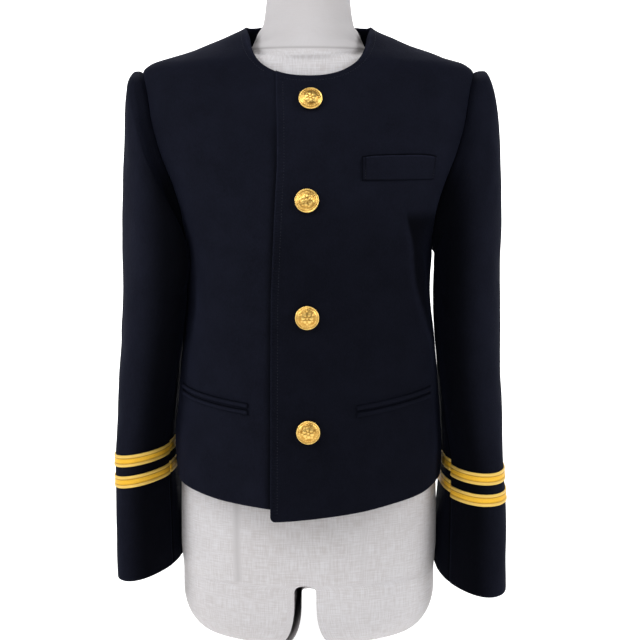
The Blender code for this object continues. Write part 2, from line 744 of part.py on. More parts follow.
def seamed(outer, inner, shoulder):
    """Keeps a panel back from its side seam, armhole and shoulder seam."""
    made = []
    for grid in (outer, inner):
        grid = pull_in_edges(grid, ["right"])
        step = grid[-2, shoulder:] - grid[-1, shoulder:]
        grid[-1, shoulder:] += HALF_SEAM * step / np.linalg.norm(step, axis=-1, keepdims=True)
        made.append(grid)
    return made


def make_back(wool, arm_normals):
    places = back_pattern()
    points = pattern_points(places, False)
    back_arm = np.concatenate([arm_normals[:1], arm_normals[: ARM_CELLS - 1 : -1]])
    normals = seam_normals(points, back_arm)
    outer, inner = seamed(points, points - normals * CLOTH, BACK_NECK_CELLS)
    outer = np.concatenate([mirrored(outer)[:, :0:-1], outer], axis=1)
    inner = np.concatenate([mirrored(inner)[:, :0:-1], inner], axis=1)
    wall("back", outer, inner, wool)


def shared_arm_normals(grid):
    """Normals along the armhole, halfway between the body's and the sleeve's."""
    hole = grid[-1]
    both = surface_normals(BODY, hole) + grid_normals(grid)[-1]
    return both / np.linalg.norm(both, axis=1, keepdims=True)


def make_sleeve(side, word, grid, front_seam, wool, gold):
    normals = grid_normals(grid)
    normals[-1] = shared_arm_normals(grid)
    inner = grid - normals * CLOTH
    cells = 2 * ARM_CELLS
    upper = list(range(front_seam, BACK_SEAM_COLUMN + 1))
    under = [k % cells for k in range(BACK_SEAM_COLUMN, front_seam + cells + 1)]
    turn = mirrored if side < 0 else np.array
    braid_rows = {"upper_braid": (3, 4), "lower_braid": (1, 2)}
    for part, picked in (("upper", upper), ("under", under)):
        edges = ["left", "right", "top"]
        panel = pull_in_edges(grid[:, picked], edges)
        lining = pull_in_edges(inner[:, picked], edges)
        wall(f"sleeve_{part}_{word}", turn(panel), turn(lining), wool)
        for braid, (low, high) in braid_rows.items():
            rows = slice(low + 1, high + 2)
            base = grid[rows][:, picked]
            out = normals[rows][:, picked]
            top = pull_in_edges(base + out * (LIFT + BRAID_THICKNESS), ["left", "right"])
            foot = pull_in_edges(base + out * LIFT, ["left", "right"])
            wall(f"{braid}_{part}_{word}", turn(top), turn(foot), gold)


def make_strip(name, side, start, length, bottom, height, tilt, thickness, surface):
    """A flat strip sewn on a front, its lower edge rising from start by tilt."""
    s = start + np.linspace(0, length, STRIP_CELLS + 1)
    rise = tilt * (s - start)
    z = np.array([bottom + rise, bottom + height + rise])
    s = np.array([s, s])
    top = on_front(side, s, z, LIFT + thickness)
    foot = on_front(side, s, z, LIFT)
    wall(name, top, foot, surface)


def make_pockets(wool):
    make_strip(
        "chest_welt", 1, WELT_INNER_S, WELT_LENGTH, WELT_BOTTOM_Z, WELT_HEIGHT,
        WELT_TILT, CLOTH, wool,
    )
    for row in POCKET_ROWS:
        pocket = dict(zip(POCKET_COLUMNS, row))
        low = pocket["inner_z"]
        high = low + LIP_HEIGHT + LIP_SPACE
        for part, bottom in (("lower", low), ("upper", high)):
            make_strip(
                f"pocket_{part}_lip_{pocket['word']}", pocket["side"], pocket["inner_s"],
                POCKET_LENGTH, bottom, LIP_HEIGHT, pocket["tilt"], LIP_THICKNESS, wool,
            )


def make_button(name, x, z, brass):
    """A domed metal button, turned from its profile, on the top front."""
    bm = bmesh.new()
    profile = [
        bm.verts.new((BUTTON_RADIUS * radius, 0.0, height)) for radius, height in BUTTON_PROFILE
    ]
    line = [bm.edges.new(pair) for pair in zip(profile, profile[1:])]
    bmesh.ops.spin(
        bm, geom=profile + line, cent=(0, 0, 0), axis=(0, 0, 1),
        angle=2 * math.pi, steps=BUTTON_SEGMENTS, use_merge=True,
    )
    bmesh.ops.remove_doubles(bm, verts=bm.verts, dist=0.00001)
    made = finish(name, bm, brass)
    places = np.array([[length_at_x(x, z, True), z]])
    points, normals = front_surface(1, places)
    out = Vector(normals[0])
    made.location = Vector(points[0]) + out * BUTTON_LIFT
    made.rotation_mode = "QUATERNION"
    made.rotation_quaternion = out.to_track_quat("Z", "Y")
    return made


def form_rings(angle):
    """Rings of the form from the crotch to the top of the neck."""
    rings = [on_surface(FORM, angle, np.full(len(angle), z)) for z in TORSO_LEVELS]
    for z, clearance in zip(SHOULDER_LEVELS, SHOULDER_CLEARANCES):
        points = on_surface(BODY, angle, np.full(len(angle), z))
        points -= surface_normals(BODY, points) * (CLOTH + clearance)
        rings.append(clear_of(NECK, points, 0.0))
    for z in NECK_LEVELS:
        rings.append(on_surface(NECK, angle, np.full(len(angle), z)))
    last = rings[-1]
    middle = last.mean(axis=0)
    for z, share in NECK_CAP:
        ring = middle + (last - middle) * share
        ring[:, 2] = z
        rings.append(ring)
    return rings


def stub_rings(outline):
    """Rings of one thigh stub below the crotch, down to its flat foot."""
    width = np.abs(outline[:, 0]).max()
    shift = THIGH_GAP * (1 - np.abs(outline[:, 0]) / width)
    side = math.copysign(1, outline[:, 0].sum())
    outline = outline + np.stack([side * shift, np.zeros(len(shift))], axis=1)
    middle = (outline.max(axis=0) + outline.min(axis=0)) / 2
    away = outline - middle
    length = np.linalg.norm(away, axis=1, keepdims=True)
    rings = []
    for z in STUB_LEVELS:
        low = max(0.0, 1 - z / FOOT_HEIGHT)
        inset = FOOT_REACH * (1 - math.sqrt(1 - low * low))
        flat = middle + away * (1 - inset / length)
        rings.append(np.column_stack([flat, np.full(len(flat), z)]))
    return rings


def make_form(linen):
    bm = bmesh.new()
    angle = np.arange(FORM_CELLS_ROUND) * 2 * math.pi / FORM_CELLS_ROUND
    rings = [[bm.verts.new(point) for point in ring] for ring in form_rings(angle)]
    for lower, upper in zip(rings, rings[1:]):
        skin(bm, lower, upper)
    bm.faces.new(rings[-1])
    half = FORM_CELLS_ROUND // 2
    front, back = rings[0][0], rings[0][half]
    crotch = []
    for share in np.linspace(0, 1, CROTCH_CELLS + 1)[1:-1]:
        point = front.co.lerp(back.co, share)
        point.z += CROTCH_DIP * (2 * math.sin(math.pi * share) - 1)
        crotch.append(bm.verts.new(point))
    for outside in (rings[0][: half + 1], rings[0][:1] + rings[0][: half - 1 : -1]):
        loop = outside + crotch[::-1]
        outline = np.array([vert.co.xy for vert in loop])
        loops = [loop]
        for ring in stub_rings(outline):
            loops.append([bm.verts.new(point) for point in ring])
        for upper, lower in zip(loops, loops[1:]):
            skin(bm, lower, upper)
        bm.faces.new(loops[-1])
    return finish("dress_form", bm, linen)


def clear_scene():
    for old in list(bpy.data.objects):
        bpy.data.objects.remove(old, do_unlink=True)


def main():
    clear_scene()
    wool = material("navy_wool", (0.010, 0.012, 0.022), 0.85, 0.0)
    gold = material("gold_braid", (0.72, 0.50, 0.10), 0.45, 0.3)
    brass = material("gilt_brass", (0.80, 0.55, 0.18), 0.28, 1.0)
    linen = material("pale_linen", (0.72, 0.71, 0.72), 0.90, 0.0)
    left = sleeve_grid(LEFT_SLEEVE_ROWS, LEFT_CUFF_Z, LEFT_BRAID_PLACE)
    right = sleeve_grid(RIGHT_SLEEVE_ROWS, RIGHT_CUFF_Z, RIGHT_BRAID_PLACE)
    arm_normals = shared_arm_normals(left)
    make_form(linen)
    make_fronts(wool, arm_normals)
    make_back(wool, arm_normals)
    make_sleeve(1, "left", left, FRONT_SEAM_COLUMNS[0], wool, gold)
    make_sleeve(-1, "right", right, FRONT_SEAM_COLUMNS[1], wool, gold)
    make_pockets(wool)
    for number, (x, z) in enumerate(BUTTON_PLACES, 1):
        make_button(f"button_{number}", x, z, brass)


main()
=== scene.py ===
"""The looks of a collarless wool jacket with braided cuffs, buttoned on a linen dress form.

The file is laid out as an add-on: the sizes and colours that a user would change are properties
of the scene, and each group of pieces has its own operator.  The body's cloth is read from one
smooth surface through horizontal sections, panel by panel, and a sleeve from oval rings that run
on over its head into the armhole.  Creases, seams and turned edges are heights added to it.

Metres, +Z up.  The form stands on z = 0, its front faces -Y, and the wearer's left is +X.
"""

import math

import bmesh
import bpy
import numpy as np
from mathutils import Matrix, Vector
from mathutils.kdtree import KDTree


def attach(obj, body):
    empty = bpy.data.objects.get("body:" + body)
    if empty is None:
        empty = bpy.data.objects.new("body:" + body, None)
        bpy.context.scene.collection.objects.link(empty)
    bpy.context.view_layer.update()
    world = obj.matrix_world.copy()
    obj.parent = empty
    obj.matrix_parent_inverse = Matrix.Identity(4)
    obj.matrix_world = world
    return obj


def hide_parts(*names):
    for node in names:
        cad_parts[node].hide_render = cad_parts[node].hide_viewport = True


bl_info = {
    "name": "Collarless Jacket",
    "version": (1, 0, 0),
    "blender": (4, 5, 0),
    "location": "View3D > Sidebar > Jacket",
    "description": "Builds a wool jacket with braided cuffs on a linen dress form",
    "category": "Add Mesh",
}

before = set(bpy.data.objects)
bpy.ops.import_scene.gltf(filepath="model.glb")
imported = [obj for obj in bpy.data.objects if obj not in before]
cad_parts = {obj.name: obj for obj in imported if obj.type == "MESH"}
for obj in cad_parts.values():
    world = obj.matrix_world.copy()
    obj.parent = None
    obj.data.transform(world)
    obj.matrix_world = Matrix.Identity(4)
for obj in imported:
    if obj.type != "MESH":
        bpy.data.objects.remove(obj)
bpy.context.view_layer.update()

# ---- Cloth and seams ----------------------------------------------------------------------
CLOTH = 0.0018
HALF_SEAM = 0.00003
LIFT = 0.0005  # gap under a piece that lies on a panel
LAP_LIFT = CLOTH + 0.0009  # how far the top front is raised where it lies on the other front
CELL = 0.0025  # size of the cells of a cloth panel
EDGE_STEPS = (0.0, 0.0002, 0.0006, 0.0012, 0.0022, 0.0036, 0.0054, 0.0076, 0.0100)
SEAM_STEPS = (0.0, 0.0005, 0.0011, 0.0019, 0.0030, 0.0045, 0.0065)

# ---- Body of the jacket -------------------------------------------------------------------
UNDERARM_Z = 0.446
SHOULDER_TIP_Z = 0.6460
NECK_SIDE_Z = 0.6965
NECK_HALF_WIDTH = 0.0695
NECK_FRONT_Z = 0.6360
NECK_BACK_RISE = 0.0105
NECK_SQUARENESS = 2.30
UNDER_FRONT_EDGE_X = -0.0300
LAP_BEND_X = 0.034
LAP_END_X = 0.085
HEM_CORNER_RADIUS = 0.0055
FRONT_NECK_SHARE = 0.458  # share of a front's width where its shoulder seam begins
BACK_NECK_SHARE = 0.364
ARM_CELLS = 84  # cells along each half of the armhole
CELLS_PER_SIDE = 12  # places along each half of a sleeve that its rings are smoothed over
SECTION_LEVELS = 700
SECTION_STEPS = 361
LINE_STEPS = 481
YOKE_GRADE = 1.7

BODY_COLUMNS = ("z", "half_width", "front", "back", "middle", "squareness")
BODY_ROWS = (
    (0.150, 0.1510, 0.1195, 0.1060, 0.012, 2.35),
    (0.178, 0.1510, 0.1190, 0.1040, 0.012, 2.35),
    (0.225, 0.1530, 0.1190, 0.0990, 0.012, 2.35),
    (0.285, 0.1485, 0.1190, 0.0900, 0.012, 2.35),
    (0.340, 0.1440, 0.1190, 0.0870, 0.012, 2.35),
    (0.400, 0.1385, 0.1200, 0.0890, 0.012, 2.35),
    (0.446, 0.1400, 0.1210, 0.0920, 0.012, 2.30),
    (0.480, 0.1490, 0.1200, 0.0950, 0.012, 2.30),
    (0.516, 0.1600, 0.1140, 0.0970, 0.012, 2.30),
    (0.557, 0.1750, 0.1040, 0.0960, 0.013, 2.30),
    (0.600, 0.1850, 0.0880, 0.0920, 0.014, 2.25),
    (0.636, 0.1870, 0.0715, 0.0860, 0.015, 2.20),
    (0.646, 0.1855, 0.0665, 0.0840, 0.015, 2.20),
    (0.654, 0.1765, 0.0615, 0.0810, 0.015, 2.20),
    (0.662, 0.1520, 0.0555, 0.0770, 0.015, 2.20),
    (0.672, 0.1230, 0.0467, 0.0720, 0.015, 2.20),
    (0.6832, 0.0960, 0.0378, 0.0660, 0.015, 2.20),
    (0.6965, 0.0695, 0.0250, 0.0590, 0.015, 2.20),
    (0.706, 0.0650, 0.0200, 0.0570, 0.015, 2.20),
)
EDGE_COLUMNS = ("z", "x")
EDGE_ROWS = (
    (0.160, -0.0412),
    (0.300, -0.0404),
    (0.398, -0.0395),
    (0.436, -0.0379),
    (0.474, -0.0363),
    (0.511, -0.0346),
    (0.547, -0.0330),
    (0.582, -0.0333),
    (0.617, -0.0346),
    (0.636, -0.0350),
)
ARMHOLE_COLUMNS = ("climb", "forward", "backward")
ARMHOLE_ROWS = (
    (0.00, 0.000, 0.000),
    (0.02, 0.025, 0.024),
    (0.09, 0.045, 0.041),
    (0.24, 0.0565, 0.050),
    (0.40, 0.0525, 0.050),
    (0.55, 0.0455, 0.046),
    (0.80, 0.0330, 0.035),
    (0.95, 0.0175, 0.018),
    (1.00, 0.000, 0.000),
)
# Hem height at the front edge and at the side seam of each front, and at the centre and side
# of the back.
HEM_TOP_FRONT = (0.1602, 0.1965)
HEM_CURVE = 1.3  # how late along a panel its hem climbs
HEM_UNDER_FRONT = (0.1680, 0.1965)
HEM_BACK = (0.1910, 0.1965)

# ---- Creases ------------------------------------------------------------------------------
# Ridges have a height above 0 and troughs one below 0.  The ends are places on the flat pattern,
# bow is how far the middle of the crease swings aside, and lean makes one flank the steeper.
CREASE_COLUMNS = ("from_s", "from_z", "to_s", "to_z", "width", "height", "bow", "lean")
FOLD_COLUMNS = ("side", "top_s", "top_z", "foot_s", "foot_z", "width", "height")
FOLD_ROWS = (
    (1, 0.118, 0.500, 0.176, 0.250, 0.026, 0.0050),
    (-1, 0.100, 0.470, 0.135, 0.270, 0.022, 0.0025),
)
LEFT_FRONT_CREASES = (
    (-0.022, 0.4040, 0.052, 0.3990, 0.0045, -0.0010, 0.003, 0.2),
    (-0.010, 0.4130, 0.060, 0.4120, 0.0070, 0.0007, 0.002, -0.2),
    (0.040, 0.4480, 0.112, 0.4760, 0.0120, -0.0010, 0.004, 0.1),
    (0.092, 0.4300, 0.150, 0.4740, 0.0100, 0.0012, -0.006, 0.3),
    (0.146, 0.4800, 0.192, 0.3020, 0.0110, -0.0020, 0.006, -0.3),
    (0.120, 0.3900, 0.176, 0.3560, 0.0100, -0.0010, 0.005, 0.2),
    (0.128, 0.3340, 0.190, 0.3240, 0.0090, -0.0008, -0.004, 0.0),
    (0.050, 0.2600, 0.060, 0.1700, 0.0170, 0.0012, 0.003, 0.0),
    (0.088, 0.2520, 0.092, 0.1720, 0.0140, -0.0011, -0.002, 0.2),
    (0.124, 0.2700, 0.134, 0.1750, 0.0150, 0.0014, 0.004, 0.0),
    (0.085, 0.6600, 0.136, 0.5700, 0.0140, -0.0011, 0.010, 0.2),
    (0.030, 0.5900, 0.060, 0.6420, 0.0120, 0.0008, -0.004, 0.0),
    (0.004, 0.3420, 0.058, 0.3150, 0.0120, -0.0007, 0.004, 0.0),
)
RIGHT_FRONT_CREASES = (
    (0.036, 0.4080, 0.092, 0.4200, 0.0080, -0.0009, 0.004, 0.2),
    (0.070, 0.4460, 0.128, 0.4800, 0.0120, -0.0011, 0.004, 0.0),
    (0.092, 0.4180, 0.140, 0.4600, 0.0120, 0.0010, -0.005, 0.2),
    (0.134, 0.4640, 0.172, 0.3300, 0.0120, -0.0016, 0.006, -0.2),
    (0.110, 0.3640, 0.166, 0.3440, 0.0110, -0.0009, -0.004, 0.1),
    (0.058, 0.2500, 0.064, 0.1800, 0.0160, 0.0011, 0.003, 0.0),
    (0.098, 0.2400, 0.104, 0.1830, 0.0140, -0.0010, 0.002, 0.2),
    (0.150, 0.2600, 0.156, 0.1840, 0.0160, 0.0011, -0.003, 0.0),
    (0.090, 0.6560, 0.140, 0.5600, 0.0150, -0.0012, 0.012, 0.2),
    (0.060, 0.5700, 0.104, 0.6180, 0.0140, 0.0008, -0.006, 0.0),
)
BACK_CREASES = (
    (-0.058, 0.6480, 0.052, 0.6500, 0.0080, -0.0010, -0.006, 0.2),
    (-0.150, 0.5500, -0.062, 0.4600, 0.0120, -0.0016, 0.010, 0.2),
    (0.152, 0.5600, 0.070, 0.4520, 0.0130, -0.0017, -0.010, -0.2),
    (-0.168, 0.5060, -0.096, 0.4180, 0.0100, 0.0012, 0.008, 0.0),
    (0.166, 0.5120, 0.102, 0.4100, 0.0110, 0.0013, -0.006, 0.0),
    (-0.120, 0.3740, 0.010, 0.3620, 0.0090, -0.0014, 0.008, 0.3),
    (-0.020, 0.3460, 0.118, 0.3580, 0.0100, -0.0013, -0.007, 0.3),
    (-0.096, 0.3500, -0.010, 0.3380, 0.0090, 0.0010, 0.005, 0.0),
    (-0.070, 0.3200, -0.086, 0.1830, 0.0200, 0.0022, 0.006, 0.0),
    (-0.006, 0.3300, 0.004, 0.1830, 0.0170, -0.0019, -0.004, 0.0),
    (0.074, 0.3100, 0.094, 0.1830, 0.0190, 0.0021, -0.005, 0.0),
    (0.134, 0.2900, 0.140, 0.1860, 0.0150, -0.0013, 0.003, 0.2),
    (-0.138, 0.2840, -0.146, 0.1860, 0.0150, -0.0012, -0.003, 0.2),
)
# Places on a sleeve are measured round from the side next to the body by the front.
SLEEVE_ROUND = 0.320
LEFT_SLEEVE_CREASES = (
    (0.030, 0.4050, 0.098, 0.3840, 0.0075, -0.0013, 0.003, 0.3),
    (0.040, 0.3820, 0.088, 0.3560, 0.0080, 0.0010, 0.002, 0.0),
    (0.034, 0.3500, 0.102, 0.3380, 0.0070, -0.0011, -0.003, 0.2),
    (0.252, 0.3900, 0.300, 0.3640, 0.0080, -0.0012, 0.003, 0.2),
    (0.140, 0.5800, 0.156, 0.4300, 0.0160, 0.0011, 0.004, 0.0),
    (0.196, 0.5600, 0.210, 0.4200, 0.0150, -0.0012, -0.004, 0.0),
    (0.112, 0.3300, 0.118, 0.2440, 0.0140, -0.0010, 0.003, 0.0),
    (0.190, 0.3200, 0.196, 0.1200, 0.0160, 0.0010, 0.004, 0.0),
)
RIGHT_SLEEVE_CREASES = (
    (0.034, 0.4140, 0.100, 0.3960, 0.0075, -0.0013, 0.003, 0.3),
    (0.046, 0.3900, 0.092, 0.3700, 0.0080, 0.0009, 0.002, 0.0),
    (0.038, 0.3620, 0.096, 0.3420, 0.0070, -0.0011, -0.003, 0.2),
    (0.244, 0.4000, 0.296, 0.3700, 0.0080, -0.0013, 0.003, 0.2),
    (0.132, 0.5700, 0.150, 0.4200, 0.0160, 0.0012, 0.004, 0.0),
    (0.200, 0.5500, 0.206, 0.4100, 0.0150, -0.0012, -0.004, 0.0),
    (0.108, 0.3400, 0.112, 0.2500, 0.0140, -0.0009, 0.003, 0.0),
    (0.186, 0.3300, 0.190, 0.1300, 0.0160, 0.0010, 0.004, 0.0),
)
# Faint unevenness of the whole cloth: wave lengths across and up, phase, and height.
WOBBLE_ROWS = (
    (0.083, 0.127, 0.4, 0.00030),
    (-0.061, 0.094, 1.9, 0.00022),
    (0.047, -0.058, 3.1, 0.00014),
    (0.029, 0.041, 4.6, 0.00007),
)

# ---- Painted shade and painted highlight in the wool's colour, as shares of the way to its darkest or lightest ---
# A ..._TOP holds the height where something ends and the distance below it over which it fades.
SLEEVE_SHADE = 0.9  # painted shade where a sleeve turns in to the body
SLEEVE_SHADE_START = 0.30  # share of the sleeve's width where that begins
SLEEVE_SHADE_WIDTH = 0.45
SLEEVE_SHADE_SPREAD = 0.22  # how much further out it begins on the forearm
SLEEVE_FOREARM_TOP = (0.30, 0.15)
SLEEVE_HEAD_LIGHT = 0.7  # share of the shade that the sleeve head goes without
LEFT_SHADE = 0.36  # painted shade all over the left front below the chest
LEFT_SHADE_TOP = (0.56, 0.14)
RIDGE_SHADE = 1.0  # painted shade behind the soft ridge at the side of the left front
RIDGE_SHADE_TOP = (0.50, 0.02)
RIDGE_TURN = 0.004  # distance over which the cloth turns away behind the ridge
RIDGE_LIGHT = 0.25  # painted highlight on the ridge itself
RIDGE_LIGHT_AT = -0.001
RIDGE_LIGHT_WIDTH = 0.0022
RIDGE_LIGHT_TOP = (0.49, 0.03)
RIDGE_ROWS = (  # z and x along the ridge
    (0.2810, 0.1420), (0.3080, 0.1393), (0.3440, 0.1332), (0.3670, 0.1252), (0.3910, 0.1174),
    (0.4150, 0.1111), (0.4690, 0.1060), (0.4870, 0.1024),
)
LAP_SHADE = 0.7  # painted shadow on the right front along the edge of the left one
LAP_SHADE_WIDTH = 0.0045
LAP_SHADE_TOP = (0.60, 0.08)
WORN_WIDTH = 0.0011  # how far from an edge the nap is worn light
FRONT_WORN = 0.45  # how light a front's edges are worn

# ---- Seams and edges of the panels ------------------------------------------------------------
CREASE_FADE = 0.014  # distance from a seam over which creases and folds die away
PICK_BAND = (0.0010, 0.0080)  # reach of the ribbed band inside the front edge
PICK_BAND_FADE = 0.0012
PICK_BAND_TOP = (0.560, 0.100)
PICK_BAND_LEAST = 0.25  # what is left of the band at the chest
CHANNEL_DEPTH = 0.00028  # depth and width of the channel that the pick stitches draw in
CHANNEL_WIDTH = 0.0010
BUTTON_PULL_DEPTH = 0.0006  # how far a button draws the cloth in, and how far round it
BUTTON_PULL_WIDTH = 0.0150

# ---- Sleeves ------------------------------------------------------------------------------
BICEP_Z = 0.436
CAP_ROWS = 6
SLEEVE_TURN_SHARE = 0.66
HEAD_REACH = 0.0360
HEAD_SPAN_SHARE = 0.45
HEAD_LEAVE = (0.075, 0.9, 0.45)
# Places of the left and the right sleeve's front seams, and of both back seams, round the ring.
FRONT_SEAM_SHARES = (1 / 24, 0 / 24)
BACK_SEAM_SHARE = 18 / 24
CLEARANCE_COLUMNS = ("z", "gap")
CLEARANCE_ROWS = ((0.130, 0.0015), (0.155, 0.0034), (0.300, 0.0034), (0.330, 0.0014), (0.365, 0.0022))
SLEEVE_COLUMNS = ("z", "out", "y", "across", "deep", "turn", "squareness")
LEFT_SLEEVE_ROWS = (
    (0.436, 0.1800, 0.004, 0.0390, 0.0640, -8, 2.15),
    (0.350, 0.1795, 0.002, 0.0400, 0.0620, -4, 2.15),
    (0.270, 0.1820, 0.000, 0.0385, 0.0610, 5, 2.15),
    (0.200, 0.1852, 0.000, 0.0330, 0.0610, 17, 2.15),
    (0.150, 0.1848, -0.002, 0.0350, 0.0620, 21, 2.15),
    (0.060, 0.1850, -0.003, 0.0360, 0.0640, 21, 2.15),
)
RIGHT_SLEEVE_ROWS = (
    (0.436, 0.1665, -0.002, 0.0400, 0.0665, -29, 2.15),
    (0.350, 0.1735, -0.002, 0.0405, 0.0630, -8, 2.15),
    (0.270, 0.1795, 0.000, 0.0345, 0.0610, 14, 2.15),
    (0.200, 0.1810, 0.004, 0.0280, 0.0610, 27, 2.15),
    (0.150, 0.1810, 0.002, 0.0280, 0.0610, 27, 2.15),
    (0.060, 0.1800, -0.002, 0.0285, 0.0610, 25, 2.15),
)
LEFT_CUFF_Z = (0.0605, 0.0850)
RIGHT_CUFF_Z = (0.0785, 0.0940)
SLEEVE_LEVELS = (0.262, 0.305, 0.350, 0.395)
LOW_LEVEL = 0.118
RING_SMOOTHINGS = 2
HEAD_ROLL_AT = 0.0085  # distance of the fullest line of the sleeve head from the armhole
HEAD_ROLL_WIDTH = 0.0070
HEAD_ROLL_HEIGHT = 0.0012
HEAD_CALM = 0.02  # distance from the armhole over which creases die away
HEAD_START_Z = 0.560
HEAD_START_FADE = 0.05
SLEEVE_MOST_DIP = 0.0011  # seams sink no deeper, so that a wall is left
HEAD_EASE = 0.0042  # how far the outer corner of the right sleeve head is rounded off
HEAD_EASE_AT = (0.199, 0.650)  # x and z of that corner
HEAD_EASE_WIDTH = 0.0095

# ---- Braid --------------------------------------------------------------------------------
BRAID_WIDTH = 0.0134
BRAID_SPACE = 0.0105
# Height of the upper ring's top edge, and its rise towards the back and towards the body.
LEFT_BRAID_PLACE = (0.2015, 0.12, 0.0)
RIGHT_BRAID_PLACE = (0.2240, 0.04, 0.11)
BRAID_CELLS_ACROSS = 30
BRAID_CORD = 0.0016  # radius of the cord along each edge of the braid
BRAID_FIELD_RISE = 0.0006  # how fast the field climbs beside a cord, and its least height there
BRAID_FIELD_LEAST = 0.0004
BRAID_DIP_AT = 0.0004  # painted shade in the furrow beside a cord
BRAID_DIP_WIDTH = 0.0008
BRAID_CORD_FOOT = 0.00045  # least height of a cord, and its share of a round cord's rise
BRAID_CORD_SHARE = 0.55
BRAID_FIELD = 0.00085  # height of the woven field between the cords
BRAID_RIB = 0.00016
BRAID_RIB_PITCH = 0.0030
BRAID_SETBACK = 0.00022
LEFT_BRAID_JOG = 0.0050  # how much higher the under sleeve's braid meets the front seam
RIGHT_BRAID_JOG = 0.0014

# ---- Buttons ------------------------------------------------------------------------------
BUTTON_RADIUS = 0.0127
BUTTON_PLACES = ((0.0022, 0.6094), (-0.0018, 0.5031), (-0.0016, 0.3817), (-0.0006, 0.2593))
BUTTON_LIFT = 0.0009
BUTTON_STEPS = 120
# Half section from the middle of the back to the groove inside the rim: share of the radius
# and height.  The dome inside the groove follows a formula.
BUTTON_BACK = (
    (0.00, 0.0000),
    (0.60, 0.0000),
    (0.86, 0.0001),
    (0.94, 0.0004),
    (0.985, 0.0010),
    (1.00, 0.0017),
    (0.992, 0.0023),
    (0.965, 0.00265),
    (0.935, 0.0026),
    (0.905, 0.0023),
    (0.880, 0.0022),
)
BUTTON_GROOVE_Z = 0.00215
BUTTON_TURN = 0.35  # radians from one button's rosette to the next
BUTTON_RIM_SHARE = 0.895  # where the bright rim begins
BUTTON_RIM_FADE = 0.02
BUTTON_DOME_LIGHT = 0.35  # brightness of the plain dome at its edge
BUTTON_DOME_SHARE = 0.880
BUTTON_DOME_TOP = 0.0054
BUTTON_DOME_POWER = 2.1
BUTTON_DOME_RINGS = 44

# ---- Pockets ------------------------------------------------------------------------------
WELT_INNER_S = 0.056
WELT_LENGTH = 0.088
WELT_BOTTOM_Z = 0.5242
WELT_HEIGHT = 0.0235
WELT_TILT = 0.022
WELT_ARCH = 0.0028
WELT_STITCH_INSET = 0.0034
POCKET_LENGTH = 0.100
POCKET_COLUMNS = ("side", "word", "inner_s", "inner_z", "tilt")
POCKET_ROWS = ((1, "left", 0.0505, 0.2738, 0.131), (-1, "right", 0.0655, 0.2756, 0.128))
LIP_HEIGHT = 0.0056
LIP_SPACE = 0.0018
WELT_CELLS = 26  # cells across the welt and across a lip
LIP_CELLS = 14
WELT_SLIT = (0.0004, 0.0015)  # rows past the welt's top, painted dark as the shade of its opening
# width of the painted shade along the welt's stitch lines
WELT_STITCH_WIDTH = 0.0008
WELT_FOOT_ROUND = 0.0022
WELT_TOP_ROUND = 0.0011
WELT_FULLNESS = 0.25  # how much thicker the welt is at its top
LIP_RISE = 0.0021
STRIP_CELL = 0.0020
STRIP_END_ROUND = 0.0012
STRIP_SEAM = 0.0011  # how wide the painted shade along a strip's sewn edges and ends is
# how wide the painted shade along a lip's edges is
LIP_SEAM = 0.0009
END_STEPS = (0.0, 0.0002, 0.0006, 0.0012, 0.0020, 0.0027, 0.0034, 0.0041, 0.0048)

# ---- Stitches -----------------------------------------------------------------------------
PICK_INSET = 0.0075
PICK_PITCH = 0.0032
PICK_SINK = 0.00018  # how deep the stitches lie in their channel
WELT_STITCH_PITCH = 0.0026
NECK_STITCH_START_X = 0.044  # where the stitches of the right neckline come out from the lap
NECK_STITCH_INSET = 0.0058
STITCH_SIZE = (0.00085, 0.00022, 0.00016)  # half sizes: along, across and proud

# ---- Dress form ---------------------------------------------------------------------------
FORM_CELLS_ROUND = 128
CROTCH_Z = 0.078
CROTCH_DIP = 0.006
THIGH_GAP = 0.0080
CROTCH_CELLS = 24
ARCH_ROWS = 6
STUB_LEVELS = (0.070, 0.062, 0.054, 0.046, 0.038, 0.031, 0.025, 0.019, 0.014, 0.010, 0.006, 0.0035,
               0.0018, 0.0008, 0.0)
FOOT_REACH = 0.045
FOOT_HEIGHT = 0.056
FORM_ROWS = (
    (0.078, 0.1460, 0.0860, 0.0990, 0.014, 2.15),
    (0.120, 0.1485, 0.0900, 0.0990, 0.014, 2.15),
    (0.178, 0.1475, 0.0950, 0.0960, 0.014, 2.15),
    (0.240, 0.1430, 0.0940, 0.0880, 0.014, 2.15),
    (0.320, 0.1260, 0.0860, 0.0740, 0.014, 2.10),
    (0.390, 0.1210, 0.0920, 0.0740, 0.014, 2.10),
    (0.440, 0.1290, 0.1060, 0.0820, 0.014, 2.10),
    (0.480, 0.1340, 0.1120, 0.0860, 0.014, 2.10),
    (0.530, 0.1390, 0.1000, 0.0890, 0.014, 2.10),
    (0.580, 0.1480, 0.0850, 0.0870, 0.014, 2.10),
    (0.620, 0.1580, 0.0700, 0.0820, 0.015, 2.10),
    (0.636, 0.1640, 0.0630, 0.0800, 0.015, 2.10),
    (0.648, 0.1640, 0.0570, 0.0770, 0.015, 2.10),
    (0.656, 0.1550, 0.0530, 0.0740, 0.015, 2.15),
)
TORSO_LEVELS = (*np.linspace(CROTCH_Z, 0.616, 16), 0.634, 0.646, 0.656)
SHOULDER_LEVELS = (0.664, 0.669, 0.674, 0.679, 0.684, 0.689)
SHOULDER_CLEARANCES = (0.0042, 0.0078, 0.0118, 0.0165, 0.0215, 0.0245)
NECK_ROWS = (
    (0.6600, 0.0690, 0.0550, 0.0600, 0.015, 2.15),
    (0.6841, 0.0650, 0.0515, 0.0585, 0.015, 2.15),
    (0.6895, 0.0571, 0.0475, 0.0550, 0.015, 2.10),
    (0.6955, 0.0517, 0.0445, 0.0530, 0.016, 2.05),
    (0.7040, 0.0496, 0.0430, 0.0525, 0.016, 2.00),
    (0.7150, 0.0480, 0.0420, 0.0520, 0.016, 2.00),
    (0.7600, 0.0440, 0.0390, 0.0510, 0.014, 2.00),
)
NECK_LEVELS = (0.6920, 0.6955, 0.700, 0.706, 0.718, 0.738, 0.760)
